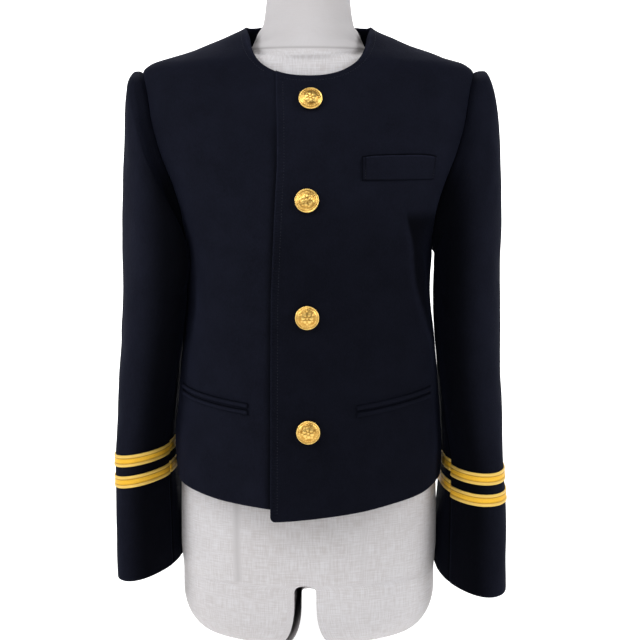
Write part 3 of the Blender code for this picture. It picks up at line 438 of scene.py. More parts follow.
NECK_CAP = ((0.7640, 0.95), (0.7650, 0.86))
FORM_SEAM_DEPTH = 0.0003
FORM_SEAM_WIDTH = 0.0013
PRINCESS_SEAM_SHARES = (0.065, 0.915, 0.415, 0.585)  # places round the form from the centre front
PRINCESS_SEAM_TOP_Z = 0.655
NECK_SEAM_Z = 0.6835
NECK_SEAM_DIP = 0.0150
NECK_TONE = 0.24  # the neck is covered in darker linen

# ---- Stage --------------------------------------------------------------------------------
CAMERA_AT = (0.0, -1.440, 0.525)
CAMERA_AIM = (0.013, 0.010, 0.366)
CAMERA_LENS = 71.55
COOL_LIGHT = (0.95, 0.97, 1.0)
PLAIN_LIGHT = (1.0, 1.0, 1.0)
LIGHTS = (  # name, place, aim, width and height, power, colour
    ("left_side", (-2.35, -1.15, 1.7), (0, 0, 0.50), (1.0, 1.6), 52.0, COOL_LIGHT),
    ("right_side", (2.35, -1.15, 1.7), (0, 0, 0.50), (1.0, 1.6), 46.0, COOL_LIGHT),
    ("front_top", (-0.5, -1.5, 2.4), (0, 0, 0.55), (1.6, 1.0), 24.0, PLAIN_LIGHT),
    ("backdrop", (0.0, 2.6, 2.6), (0, 7.5, 1.2), (4.0, 1.0), 300.0, PLAIN_LIGHT),
    ("floor_light", (0.0, 1.6, 2.4), (0, 2.8, 0.0), (4.0, 1.2), 150.0, PLAIN_LIGHT),
)


# ---- Sizes and colours that a user would change ------------------------------------------------
class JacketSizes(bpy.types.PropertyGroup):
    crease_strength: bpy.props.FloatProperty(
        name="Crease strength",
        description="How deep the soft creases of the cloth are, as a share of the ones drawn",
        default=1.0, min=0.0, max=2.0, subtype="FACTOR",
    )
    seam_depth: bpy.props.FloatProperty(
        name="Seam depth",
        description="How far the cloth turns in at a seam",
        default=0.0009, unit="LENGTH", precision=5,
    )
    seam_width: bpy.props.FloatProperty(
        name="Seam width",
        description="How far from the seam the cloth starts to turn in",
        default=0.0020, unit="LENGTH", precision=5,
    )
    nap_height: bpy.props.FloatProperty(
        name="Nap height",
        description="Height of the wool's soft nap",
        default=0.00050, unit="LENGTH", precision=5,
    )
    button_relief: bpy.props.FloatProperty(
        name="Button relief",
        description="Height of the rosette worked on each button",
        default=0.00042, unit="LENGTH", precision=5,
    )


class JacketColours(bpy.types.PropertyGroup):
    wool: bpy.props.FloatVectorProperty(
        name="Wool", description="Colour of the wool cloth",
        default=(0.0026, 0.0028, 0.0046), size=3, subtype="COLOR",
    )
    nap: bpy.props.FloatVectorProperty(
        name="Nap", description="Colour of the wool's nap where it catches the light",
        default=(0.0074, 0.0082, 0.0148), size=3, subtype="COLOR",
    )
    gold: bpy.props.FloatVectorProperty(
        name="Braid", description="Colour of the gold braid",
        default=(1.0, 0.575, 0.037), size=3, subtype="COLOR",
    )
    brass: bpy.props.FloatVectorProperty(
        name="Buttons", description="Colour of the gilt buttons",
        default=(0.90, 0.60, 0.17), size=3, subtype="COLOR",
    )
    linen: bpy.props.FloatVectorProperty(
        name="Linen", description="Colour of the dress form's linen",
        default=(0.60, 0.585, 0.595), size=3, subtype="COLOR",
    )
    floor: bpy.props.FloatVectorProperty(
        name="Floor", description="Colour of the floor",
        default=(0.45, 0.45, 0.45), size=3, subtype="COLOR",
    )


def sizes():
    return bpy.context.scene.jacket_sizes


def colours():
    return bpy.context.scene.jacket_colours


# ---- Smooth tables ------------------------------------------------------------------------
def curve_slopes(at, values):
    """Slopes of a smooth curve through the rows that never swings past them."""
    step = np.diff(at)[:, None]
    rise = np.diff(values, axis=0) / step
    slopes = np.zeros_like(values)
    slopes[0] = rise[0]
    slopes[-1] = rise[-1]
    one_way = rise[:-1] * rise[1:] > 0
    before = np.where(one_way, rise[:-1], 1.0)
    after = np.where(one_way, rise[1:], 1.0)
    first = 2 * step[1:] + step[:-1]
    second = step[1:] + 2 * step[:-1]
    slopes[1:-1] = np.where(one_way, (first + second) / (first / before + second / after), 0.0)
    return slopes


def on_curve(low, high, low_slope, high_slope, step, t):
    """A value between two rows of a smooth curve."""
    return (
        low * (1 + 2 * t) * (1 - t) ** 2
        + high * t**2 * (3 - 2 * t)
        + step * low_slope * t * (1 - t) ** 2
        - step * high_slope * t**2 * (1 - t)
    )


class Table:
    """Rows of named columns, read between the rows along a smooth curve."""

    def __init__(self, columns, rows):
        values = np.array(sorted(rows), float)
        self.columns = columns[1:]
        self.at = values[:, 0]
        self.values = values[:, 1:]
        self.slopes = curve_slopes(self.at, self.values)

    def read(self, where):
        """Each column's value at the given places, as a dictionary."""
        where = np.clip(np.asarray(where, float), self.at[0], self.at[-1])
        row = np.clip(np.searchsorted(self.at, where) - 1, 0, len(self.at) - 2)
        step = self.at[row + 1] - self.at[row]
        t = ((where - self.at[row]) / step)[..., None]
        value = on_curve(
            self.values[row], self.values[row + 1],
            self.slopes[row], self.slopes[row + 1], step[..., None], t,
        )
        return {name: value[..., k] for k, name in enumerate(self.columns)}


class Rows:
    """Rows of points, with a smooth curve up each column through them."""

    def __init__(self, rows):
        self.rows = np.asarray(rows, float)
        step = np.linalg.norm(np.diff(self.rows, axis=0), axis=2).mean(axis=1)
        self.at = np.concatenate([[0], np.cumsum(step)])
        flat = self.rows.reshape(len(self.rows), -1)
        self.slopes = curve_slopes(self.at, flat).reshape(self.rows.shape)

    def read(self, where):
        """Points at distances up the columns: one distance a row, or one for every point."""
        count = self.rows.shape[1]
        where = np.asarray(where, float)
        if where.ndim == 1:
            where = np.repeat(where[:, None], count, axis=1)
        where = np.clip(where, 0, self.at[-1])
        row = np.clip(np.searchsorted(self.at, where) - 1, 0, len(self.at) - 2)
        column = np.broadcast_to(np.arange(count), row.shape)
        step = self.at[row + 1] - self.at[row]
        t = ((where - self.at[row]) / step)[..., None]
        return on_curve(
            self.rows[row, column], self.rows[row + 1, column],
            self.slopes[row, column], self.slopes[row + 1, column], step[..., None], t,
        )


BODY = Table(BODY_COLUMNS, BODY_ROWS)
EDGE = Table(EDGE_COLUMNS, EDGE_ROWS)
FORM = Table(BODY_COLUMNS, FORM_ROWS)
NECK = Table(BODY_COLUMNS, NECK_ROWS)
CLEARANCE = Table(CLEARANCE_COLUMNS, CLEARANCE_ROWS)


def between(table, row, column):
    """Values of a table at fractional rows and columns."""
    low = np.clip(np.floor(row).astype(int), 0, table.shape[0] - 2)
    near = np.clip(np.floor(column).astype(int), 0, table.shape[1] - 2)
    up = row - low
    across = column - near
    below = table[low, near] * (1 - across) + table[low, near + 1] * across
    above = table[low + 1, near] * (1 - across) + table[low + 1, near + 1] * across
    return below * (1 - up) + above * up


def spread(length, near, far, cell):
    """Places from 0 to length: the given close ones at both ends and even cells between."""
    near = np.asarray(near or (0.0,))
    far = length - np.asarray(far or (0.0,))[::-1]
    count = max(1, round((far[0] - near[-1]) / cell))
    even = np.linspace(near[-1], far[0], count + 1)
    return np.concatenate([near[:-1], even, far[1:]])


# ---- The body's surface -------------------------------------------------------------------
def section_point(section, angle):
    """x and y at an angle round a section: 0 is the centre front and pi the centre back."""
    power = 2 / section["squareness"]
    sine = np.sin(angle)
    cosine = np.cos(angle)
    x = section["half_width"] * np.sign(sine) * np.abs(sine) ** power
    reach = np.where(cosine > 0, section["front"], section["back"])
    y = section["middle"] - reach * np.sign(cosine) * np.abs(cosine) ** power
    return x, y


def section_level(section, x, y):
    """Below 1 inside a section, 1 on it, and above 1 outside."""
    reach = np.where(y < section["middle"], section["front"], section["back"])
    power = section["squareness"]
    across = np.abs(x / section["half_width"]) ** power
    along = np.abs((y - section["middle"]) / reach) ** power
    return (across + along) ** (1 / power)


def on_surface(table, angle, z):
    x, y = section_point(table.read(z), angle)
    return np.stack([x, y, np.broadcast_to(z, x.shape)], axis=-1)


def surface_normals(table, points):
    """Outward normals of a table's surface at points on it."""
    nudge = 0.0004
    slope = []
    for axis in range(3):
        step = np.zeros(3)
        step[axis] = nudge
        ahead = points + step
        behind = points - step
        rise = section_level(table.read(ahead[..., 2]), ahead[..., 0], ahead[..., 1])
        fall = section_level(table.read(behind[..., 2]), behind[..., 0], behind[..., 1])
        slope.append(rise - fall)
    return unit(np.stack(slope, axis=-1))


def unit(vectors):
    return vectors / np.linalg.norm(vectors, axis=-1, keepdims=True)


class Sections:
    """The front or back of the body, by distance round a section from its centre and height."""

    def __init__(self, front):
        self.front = front
        self.levels = np.linspace(BODY_ROWS[0][0], BODY_ROWS[-1][0], SECTION_LEVELS)
        turn = np.linspace(0, math.pi / 2, SECTION_STEPS)
        section = {name: value[:, None] for name, value in BODY.read(self.levels).items()}
        x, y = section_point(section, (turn if front else math.pi - turn)[None, :])
        run = np.cumsum(np.hypot(np.diff(x, axis=1), np.diff(y, axis=1)), axis=1)
        self.run = np.concatenate([np.zeros((SECTION_LEVELS, 1)), run], axis=1)
        shares = np.linspace(0, 1, SECTION_STEPS)
        self.turn = np.array([np.interp(shares * row[-1], row, turn) for row in self.run])

    def row(self, z):
        return (z - self.levels[0]) / (self.levels[1] - self.levels[0])

    def side_length(self, z):
        return np.interp(z, self.levels, self.run[:, -1])

    def length_at_x(self, x, z):
        """Distance round the section to the place that lies x from the middle."""
        x, z = np.broadcast_arrays(np.asarray(x, float), np.asarray(z, float))
        section = BODY.read(z)
        sine = np.clip(np.abs(x) / section["half_width"], 0, 1) ** (section["squareness"] / 2)
        column = np.arcsin(sine) / (math.pi / 2) * (SECTION_STEPS - 1)
        return np.sign(x) * between(self.run, self.row(z), column)

    def points(self, places):
        """Points of the surface at (s, z) places of the flat pattern."""
        s, z = places[..., 0], places[..., 1]
        share = np.clip(np.abs(s) / self.side_length(z), 0, 1)
        turn = np.sign(s) * between(self.turn, self.row(z), share * (SECTION_STEPS - 1))
        return on_surface(BODY, turn if self.front else math.pi - turn, z)


FRONT = Sections(True)
BACK = Sections(False)


# ---- Seam lines, each a list of (s, z) on the flat pattern ------------------------------------
def resample(points, shares):
    """Points at the given shares of a line's length."""
    run = np.concatenate([[0], np.cumsum(np.linalg.norm(np.diff(points, axis=0), axis=1))])
    at = np.asarray(shares) / shares[-1] * run[-1]
    return np.stack([np.interp(at, run, points[:, k]) for k in range(points.shape[1])], axis=1)


def front_neckline(edge_x, shares):
    """From the front edge to the side of the neck."""
    power = 2 / NECK_SQUARENESS
    start = math.copysign(math.asin((abs(edge_x) / NECK_HALF_WIDTH) ** (1 / power)), edge_x)
    turn = np.linspace(start, math.pi / 2, LINE_STEPS)
    x = NECK_HALF_WIDTH * np.sign(turn) * np.abs(np.sin(turn)) ** power
    z = NECK_SIDE_Z - (NECK_SIDE_Z - NECK_FRONT_Z) * np.abs(np.cos(turn)) ** power
    return resample(np.stack([FRONT.length_at_x(x, z), z], axis=1), shares)


def back_neckline(shares):
    """From the centre back to the side of the neck."""
    turn = np.linspace(0, math.pi / 2, LINE_STEPS)
    z = NECK_SIDE_Z + NECK_BACK_RISE * np.cos(turn) ** 2
    s = turn / (math.pi / 2) * BACK.side_length(z)
    return resample(np.stack([s, z], axis=1), shares)


def shoulder_seam(sections, shares):
    """From the side of the neck to the shoulder tip."""
    tip_x = float(BODY.read(SHOULDER_TIP_Z)["half_width"])
    reach = NECK_HALF_WIDTH + (tip_x - NECK_HALF_WIDTH) * shares
    levels = np.linspace(NECK_SIDE_Z, SHOULDER_TIP_Z, LINE_STEPS)
    z = np.interp(reach, BODY.read(levels)["half_width"], levels)
    return np.stack([sections.side_length(z), z], axis=1)


def armhole(sections):
    """From the underarm to the shoulder tip."""
    table = Table(("share",) + ARMHOLE_COLUMNS, [
        (k / (len(ARMHOLE_ROWS) - 1),) + row for k, row in enumerate(ARMHOLE_ROWS)
    ])
    values = table.read(np.linspace(0, 1, LINE_STEPS))
    reach = values["forward" if sections.front else "backward"]
    z = UNDERARM_Z + (SHOULDER_TIP_Z - UNDERARM_Z) * values["climb"]
    line = np.stack([sections.side_length(z) - reach, z], axis=1)
    points = sections.points(line)
    run = np.concatenate([[0], np.cumsum(np.linalg.norm(np.diff(points, axis=0), axis=1))])
    at = np.linspace(0, run[-1], ARM_CELLS + 1)
    return np.stack([np.interp(at, run, line[:, 0]), np.interp(at, run, line[:, 1])], axis=1)


# ---- Flat patterns of the body's panels ---------------------------------------------------------
def graded(share):
    """Shares that lie closer together near 1, where the shoulder turns over."""
    return 1 - (1 - share) ** YOKE_GRADE


def blended_grid(shares, bottom, top, left, right):
    """A grid of pattern places between four border lines that meet at its corners."""
    across = shares[None, :, None]
    even = np.linspace(0, 1, len(left))[:, None, None]
    up = even + (graded(even) - even) * (1 - across**4)
    corners = (
        (1 - across) * (1 - up) * bottom[0]
        + across * (1 - up) * bottom[-1]
        + (1 - across) * up * top[0]
        + across * up * top[-1]
    )
    return (
        (1 - up) * bottom[None]
        + up * top[None]
        + (1 - across) * left[:, None]
        + across * right[:, None]
        - corners
    )


def half_panel(sections, shares, neck_column, start, hem, corner, neckline):
    """Pattern places of a half panel, row by row from the hem, from the centre to the side.

    start gives the centre edge's distance from the centre line at a height, hem the hem's height
    at that edge and at the side, and corner the radius of the hem's corner at that edge.
    """
    def level_rows(z_start, z_side):
        first = start(z_start)
        s = first + (sections.side_length(z_side) - first) * shares
        return np.stack([s, z_start + (z_side - z_start) * shares**HEM_CURVE], axis=-1)

    climb = spread(UNDERARM_Z - hem[0], EDGE_STEPS, (), CELL)[:, None] / (UNDERARM_Z - hem[0])
    rows = level_rows(hem[0] + (UNDERARM_Z - hem[0]) * climb, hem[1] + (UNDERARM_Z - hem[1]) * climb)
    back = np.clip(corner - (rows[..., 0] - rows[:, :1, 0]), 0, corner)
    rows[..., 1] += (corner - np.sqrt(corner**2 - back**2)) * (1 - climb)
    neck = neckline(shares[: neck_column + 1])
    along_shoulder = (shares[neck_column:] - shares[neck_column]) / (1 - shares[neck_column])
    shoulder = shoulder_seam(sections, along_shoulder)
    left_z = UNDERARM_Z + (neck[0][1] - UNDERARM_Z) * graded(np.linspace(0, 1, ARM_CELLS + 1))
    left = np.stack([start(left_z), left_z], axis=1)
    left[-1] = neck[0]
    yoke = blended_grid(
        shares, rows[-1], np.concatenate([neck, shoulder[1:]]), left, armhole(sections),
    )
    return np.concatenate([rows[:-1], yoke])


def front_start(side):
    """The distance of a front's centre edge from the centre line, as a function of height."""
    if side > 0:
        return lambda z: FRONT.length_at_x(EDGE.read(z)["x"], z)
    return lambda z: FRONT.length_at_x(UNDER_FRONT_EDGE_X, z)


def front_pattern(side, hem):
    start = front_start(side)
    edge_x = float(EDGE.read(NECK_FRONT_Z)["x"]) if side > 0 else UNDER_FRONT_EDGE_X
    width = float(FRONT.side_length(hem[1]) - start(np.array(hem[0])))
    shares = spread(width, EDGE_STEPS, SEAM_STEPS, CELL) / width
    neck_column = int(np.argmin(np.abs(shares - FRONT_NECK_SHARE)))
    corner = HEM_CORNER_RADIUS if side > 0 else 0.0
    places = half_panel(
        FRONT, shares, neck_column, start, hem, corner,
        lambda part: front_neckline(edge_x, part),
    )
    return places, neck_column


def back_pattern():
    width = float(BACK.side_length(HEM_BACK[1]))
    shares = spread(width, (), SEAM_STEPS, CELL) / width
    neck_column = int(np.argmin(np.abs(shares - BACK_NECK_SHARE)))
    places = half_panel(
        BACK, shares, neck_column, lambda z: 0.0 * z, HEM_BACK, 0.0, back_neckline,
    )
    return places, neck_column


# ---- Heights added to the cloth ----------------------------------------------------------------
def smooth_step(share):
    share = np.clip(share, 0, 1)
    return share * share * (3 - 2 * share)


def bell(distance, width):
    """1 on a line, and smoothly down to nothing beside it."""
    return np.exp(-((distance / width) ** 2))


def under(top, z):
    """1 below a top, and smoothly down to nothing at its height."""
    height, fade = top
    return smooth_step((height - z) / fade)


def rounded(distance, radius, least):
    """Share of a strip's full height at a distance from its edge, rounded over a radius."""
    return np.sqrt(np.clip(1 - (1 - np.clip(distance / radius, 0, 1)) ** 2, least, 1))


def left_shade(z):
    """Painted shade over the left front at a height."""
    return LEFT_SHADE * under(LEFT_SHADE_TOP, z)


def crease_height(rows, s, z):
    """How far the creases lift the cloth at pattern places."""
    lift = np.zeros(np.shape(s))
    for row in rows:
        crease = dict(zip(CREASE_COLUMNS, row))
        run_s = crease["to_s"] - crease["from_s"]
        run_z = crease["to_z"] - crease["from_z"]
        length = math.hypot(run_s, run_z)
        away_s = s - crease["from_s"]
        away_z = z - crease["from_z"]
        along = (away_s * run_s + away_z * run_z) / length**2
        across = (away_s * run_z - away_z * run_s) / length
        across = across - crease["bow"] * 4 * along * (1 - along)
        width = crease["width"] * (1 + crease["lean"] * np.tanh(across / crease["width"]))
        fade = np.clip(1 - (2 * along - 1) ** 2, 0, 1) ** 1.5
        lift += crease["height"] * fade * bell(across, width)
    return lift * sizes().crease_strength


def fold_height(side, s, z):
    """How far the folds of one front lift its cloth."""
    lift = np.zeros(np.shape(s))
    for row in FOLD_ROWS:
        fold = dict(zip(FOLD_COLUMNS, row))
        if fold["side"] != side:
            continue
        climb = (z - fold["foot_z"]) / (fold["top_z"] - fold["foot_z"])
        line = fold["foot_s"] + (fold["top_s"] - fold["foot_s"]) * climb
        fade = np.clip(climb * (1 - climb) * 4, 0, 1) ** 1.3
        lift += fold["height"] * fade * bell(s - line, fold["width"])
    return lift


def wobble(s, z, phase):
    lift = np.zeros(np.shape(s))
    for across, up, turn, height in WOBBLE_ROWS:
        lift += height * np.sin(2 * math.pi * (s / across + z / up) + turn + phase)
    return lift


def turned_edge(distance):
    """How far each face of the cloth drops at its free edge, so that the edge is round."""
    radius = CLOTH / 2
    inside = np.clip(radius - distance, 0, radius)
    return np.minimum(radius - np.sqrt(radius**2 - inside**2), 0.82 * radius)


def seam_dip(distance):
    """How far the outer face of the cloth drops beside a seam."""
    return sizes().seam_depth * bell(distance, sizes().seam_width)


def distance_to(points, *lines):
    """Distance of each point to the nearest of some lines through points."""
    dense = []
    for line in lines:
        length = np.linalg.norm(np.diff(line, axis=0), axis=1).sum()
        dense.append(resample(line, np.linspace(0, 1, int(length / 0.0001) + 2)))
    dense = np.concatenate(dense)
    tree = KDTree(len(dense))
    for index, point in enumerate(dense):
        tree.insert(point, index)
    tree.balance()
    flat = points.reshape(-1, 3)
    return np.array([tree.find(point)[2] for point in flat]).reshape(points.shape[:-1])


def lap_raise(x, side):
    """How far the top front is lifted over the under front."""
    if side < 0:
        return np.zeros(np.shape(x))
    return LAP_LIFT * smooth_step((LAP_END_X - x) / (LAP_END_X - LAP_BEND_X))


def front_relief(side, places, x):
    """Height of a front's cloth over the body's smooth surface."""
    s, z = places[..., 0], places[..., 1]
    creases = LEFT_FRONT_CREASES if side > 0 else RIGHT_FRONT_CREASES
    lift = lap_raise(x, side) + fold_height(side, s, z)
    return lift + crease_height(creases, s, z) + wobble(s, z, 1.3 * side)


def on_front(side, s, z, lift):
    """Points and normals above a front at pattern places, in the +X half."""
    places = np.stack(np.broadcast_arrays(s, z), axis=-1)
    points = FRONT.points(places)
    normals = surface_normals(BODY, points)
    height = front_relief(side, places, points[..., 0]) + lift
    return points + normals * height[..., None], normals


# ---- Sleeves ------------------------------------------------------------------------------
def sleeve_ring(section, cells):
    """Points of a ring from the side next to the body round by the front."""
    angle = np.linspace(0, 2 * math.pi, cells + 1)[:-1]
    power = 2 / float(section["squareness"])
    across = -float(section["across"]) * np.sign(np.cos(angle)) * np.abs(np.cos(angle)) ** power
    along = -float(section["deep"]) * np.sign(np.sin(angle)) * np.abs(np.sin(angle)) ** power
    turn = math.radians(float(section["turn"]))
    x = float(section["out"]) + across * math.cos(turn) - along * math.sin(turn)
    y = float(section["y"]) + across * math.sin(turn) + along * math.cos(turn)
    return x, y


def clear_of(table, points, clearance):
    """Moves points that lie inside a surface, or too near to it, straight out of it."""
    section = table.read(points[..., 2])
    wide = {**section}
    for name in ("half_width", "front", "back"):
        wide[name] = section[name] + clearance
    level = section_level(wide, points[..., 0], points[..., 1])
    scale = np.maximum(1 / np.maximum(level, 0.05), 1)
    moved = points.copy()
    moved[..., 0] = points[..., 0] * scale
    moved[..., 1] = section["middle"] + (points[..., 1] - section["middle"]) * scale
    return moved


def sleeve_rows(rings, cuff, braid_place):
    """Main rings of a sleeve from the cuff to the armhole."""
    table = Table(SLEEVE_COLUMNS, rings)
    cells = 2 * ARM_CELLS
    braid_top, to_back, to_body = braid_place
    second_top = braid_top - BRAID_WIDTH - BRAID_SPACE
    levels = [second_top - BRAID_WIDTH, second_top, braid_top - BRAID_WIDTH, braid_top]
    levels = [LOW_LEVEL, *levels, *SLEEVE_LEVELS, BICEP_Z]
    front_to_back = (1 - np.sin(np.linspace(0, 2 * math.pi, cells + 1)[:-1])) / 2
    x, y = sleeve_ring(table.read(np.mean(cuff)), cells)
    rows = [np.stack([x, y, cuff[0] + (cuff[1] - cuff[0]) * front_to_back], axis=1)]
    for z in levels:
        x, y = sleeve_ring(table.read(z), cells)
        share = np.clip((BICEP_Z - z) / (BICEP_Z - braid_top), 0, 1)
        rise = to_back * (y - y.min()) + to_body * (x.mean() - x)
        rows.append(np.stack([x, y, z + share * rise], axis=1))
    rows = np.array(rows)
    gap = CLEARANCE.read(rows[..., 2])["gap"]
    below = rows[..., 2:] < HEM_BACK[1]
    rows = np.where(below, clear_of(FORM, rows, gap), rows)
    beside = rows[..., 2:] > HEM_TOP_FRONT[0] - BRAID_WIDTH
    rows = np.where(beside, clear_of(BODY, rows, gap), rows)
    stride = ARM_CELLS // CELLS_PER_SIDE
    for _ in range(RING_SMOOTHINGS):
        rows = (2 * rows + np.roll(rows, stride, axis=1) + np.roll(rows, -stride, axis=1)) / 4
    return np.concatenate([rows, sleeve_cap(rows[-1])])


def arm_ring():
    """Points round the armhole, from the underarm up the front and down the back."""
    front = FRONT.points(armhole(FRONT))
    back = BACK.points(armhole(BACK))
    return np.concatenate([front, back[-2:0:-1]])


def sleeve_cap(bicep):
    """Rows from above the bicep ring to the armhole."""
    hole = arm_ring()
    span = np.linalg.norm(hole - bicep, axis=1)[:, None]
    leave = (hole - hole.mean(axis=0)) * np.array(HEAD_LEAVE)
    leave[:, 0] = HEAD_LEAVE[0]
    handle = np.minimum(HEAD_REACH, HEAD_SPAN_SHARE * span)
    t = np.linspace(0, 1, CAP_ROWS + 1)[1:, None, None]
    first = bicep + SLEEVE_TURN_SHARE * span * np.array([0.0, 0.0, 1.0])
    second = hole + handle * unit(leave)
    return (
        (1 - t) ** 3 * bicep
        + 3 * t * (1 - t) ** 2 * first
        + 3 * t**2 * (1 - t) * second
        + t**3 * hole
    )


def tube_normals(grid):
    """Outward normals of a tube from its own rows and columns."""
    around = np.roll(grid, -1, axis=1) - np.roll(grid, 1, axis=1)
    return unit(np.cross(around, np.gradient(grid, axis=0)))


class Sleeve:
    """One sleeve in the +X half: its smooth tube and the heights added to it."""

    def __init__(self, side):
        self.side = side
        self.word = "left" if side > 0 else "right"
        rings, cuff, braid_place, self.creases = (
            (LEFT_SLEEVE_ROWS, LEFT_CUFF_Z, LEFT_BRAID_PLACE, LEFT_SLEEVE_CREASES)
            if side > 0
            else (RIGHT_SLEEVE_ROWS, RIGHT_CUFF_Z, RIGHT_BRAID_PLACE, RIGHT_SLEEVE_CREASES)
        )
        self.tube = Rows(sleeve_rows(rings, cuff, braid_place))
        self.cells = 2 * ARM_CELLS
        self.front_seam = round(FRONT_SEAM_SHARES[0 if side > 0 else 1] * self.cells)
        self.back_seam = round(BACK_SEAM_SHARE * self.cells)
        self.upper = list(range(self.front_seam, self.back_seam + 1))
        under = range(self.back_seam, self.front_seam + self.cells + 1)
        self.under = [k % self.cells for k in under]

    def around(self, rows):
        """Distance round the sleeve, the same in every row."""
        return np.broadcast_to(np.arange(self.cells) * SLEEVE_ROUND / self.cells, rows.shape[:2])

    def relief(self, grid):
        """Height of the cloth over the smooth tube."""
        s = self.around(grid)
        z = grid[..., 2]
        height = crease_height(self.creases, s, z) + 0.7 * wobble(s, z, 2.1 + self.side)
        if self.side < 0:
            away = np.hypot(grid[..., 0] - HEAD_EASE_AT[0], z - HEAD_EASE_AT[1])
            height = height - HEAD_EASE * bell(away, HEAD_EASE_WIDTH)
        return height


# ---- Meshes -------------------------------------------------------------------------------
def add_mesh(name, bm, surface):
    """An object at the origin from a bmesh."""
    mesh = bpy.data.meshes.new(name)
    bm.to_mesh(mesh)
    bm.free()
    mesh.materials.append(surface)
    mesh.shade_smooth()
    made = bpy.data.objects.new(name, mesh)
    bpy.context.scene.collection.objects.link(made)
    return made


def signed_volume(mesh):
    mesh.calc_loop_triangles()
    corners = np.empty(len(mesh.loop_triangles) * 3, np.int32)
    mesh.loop_triangles.foreach_get("vertices", corners)
    points = np.empty(len(mesh.vertices) * 3)
    mesh.vertices.foreach_get("co", points)
    a, b, c = (points.reshape(-1, 3)[corners.reshape(-1, 3)[:, k]] for k in range(3))
    return float((a * np.cross(b, c)).sum())


def make_wall(name, outer, inner, flat, marks, surface):
    """A closed wall between two grids of points, made from a grid that is extruded once.

    flat holds the place of every grid point on the flat pattern, and marks names values for
    every grid point that the material reads.
    """
    rows, columns = outer.shape[:2]
    bm = bmesh.new()
    bmesh.ops.create_grid(bm, x_segments=columns - 1, y_segments=rows - 1, size=0.5)
    made = bmesh.ops.extrude_face_region(bm, geom=bm.faces[:])
    raised = [vert for vert in made["geom"] if isinstance(vert, bmesh.types.BMVert)]
    bmesh.ops.translate(bm, verts=raised, vec=(0, 0, 1))
    bmesh.ops.recalc_face_normals(bm, faces=bm.faces)
    wall = add_mesh(name, bm, surface)
    mesh = wall.data
    slab = np.empty(len(mesh.vertices) * 3)
    mesh.vertices.foreach_get("co", slab)
    slab = slab.reshape(-1, 3)
    column = np.rint((slab[:, 0] + 0.5) * (columns - 1)).astype(int)
    row = np.rint((slab[:, 1] + 0.5) * (rows - 1)).astype(int)
    on_top = slab[:, 2:] > 0.5
    places = np.where(on_top, outer[row, column], inner[row, column])
    mesh.vertices.foreach_set("co", places.ravel())
    corners = np.empty(len(mesh.loops), np.int32)
    mesh.loops.foreach_get("vertex_index", corners)
    layer = mesh.uv_layers.new(name="pattern")
    layer.uv.foreach_set("vector", flat[row, column][corners].ravel())
    for mark, values in marks.items():
        attribute = mesh.attributes.new(mark, "FLOAT", "POINT")
        attribute.data.foreach_set("value", values[row, column].ravel())
    if signed_volume(mesh) < 0:
        mesh.flip_normals()
    mesh.update()
    return wall


def own(piece, slot, *nodes):
    """Ties a finished piece to the part's one body and hides the CAD nodes it stands for."""
    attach(piece, "root")
    if nodes:
        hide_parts(*nodes)
    return piece


def mirrored(points):
    return points * np.array([-1.0, 1.0, 1.0])


def on_side(side, *grids):
    """Grids of the +X half as they lie on the wearer's left, 1, or right, -1."""
    return [mirrored(grid) if side < 0 else grid for grid in grids]


# ---- Materials ----------------------------------------------------------------------------
class Surface:
    """A procedural material, put together node by node."""

    def __init__(self, name, roughness, metallic=0.0, specular=0.5):
        self.material = bpy.data.materials.new(name)
        self.material.use_nodes = True
        self.tree = self.material.node_tree
        self.shader = self.tree.nodes["Principled BSDF"]
        self.set(self.shader, {
            "Roughness": roughness, "Metallic": metallic, "Specular IOR Level": specular,
        })

    def put(self, socket, value):
        """Gives a socket a value, or a link where the value is another socket."""
        if isinstance(value, bpy.types.NodeSocket):
            self.tree.links.new(value, socket)
        else:
            socket.default_value = value

    def set(self, node, inputs):
        for name, value in inputs.items():
            self.put(node.inputs[name], value)

    def add(self, kind, inputs=None, **options):
        node = self.tree.nodes.new("ShaderNode" + kind)
        for name, value in options.items():
            setattr(node, name, value)
        self.set(node, inputs or {})
        return node

    def place(self):
        return self.add("TexCoord").outputs["Object"]

    def pattern(self):
        return self.add("UVMap", uv_map="pattern").outputs["UV"]

    def mark(self, name):
        return self.add("Attribute", attribute_name=name).outputs["Fac"]

    def stretch(self, vector, scale, turn=0.0):
        inputs = {"Vector": vector, "Scale": scale, "Rotation": (0.0, 0.0, turn)}
        return self.add("Mapping", inputs).outputs["Vector"]

    def noise(self, vector, scale, detail=2.0, roughness=0.5):
        inputs = {"Vector": vector, "Scale": scale, "Detail": detail, "Roughness": roughness}
        return self.add("TexNoise", inputs).outputs["Fac"]

    def waves(self, vector, scale, distortion=0.0, direction="X"):
        inputs = {"Vector": vector, "Scale": scale, "Distortion": distortion, "Detail Scale": 2.0}
        node = self.add("TexWave", inputs, bands_direction=direction, wave_profile="SIN")
        return node.outputs["Fac"]

    def math(self, operation, first, second=0.0):
        node = self.add("Math", operation=operation)
        for socket, value in zip(node.inputs, (first, second)):
            self.put(socket, value)
        return node.outputs[0]

    def span(self, value, low, high, to_low=0.0, to_high=1.0):
        inputs = {
            "Value": value, "From Min": low, "From Max": high,
            "To Min": to_low, "To Max": to_high,
        }
        return self.add("MapRange", inputs).outputs["Result"]

    def blend(self, share, first, second):
        node = self.add("Mix", data_type="RGBA")
        self.put(node.inputs[0], share)
        for socket, colour in ((6, first), (7, second)):
            self.put(node.inputs[socket], (*colour, 1.0) if isinstance(colour, tuple) else colour)
        return node.outputs[2]

    def bump(self, height, distance, strength=1.0, over=None):
        inputs = {"Height": height, "Distance": distance, "Strength": strength}
        if over is not None:
            inputs["Normal"] = over
        return self.add("Bump", inputs).outputs["Normal"]


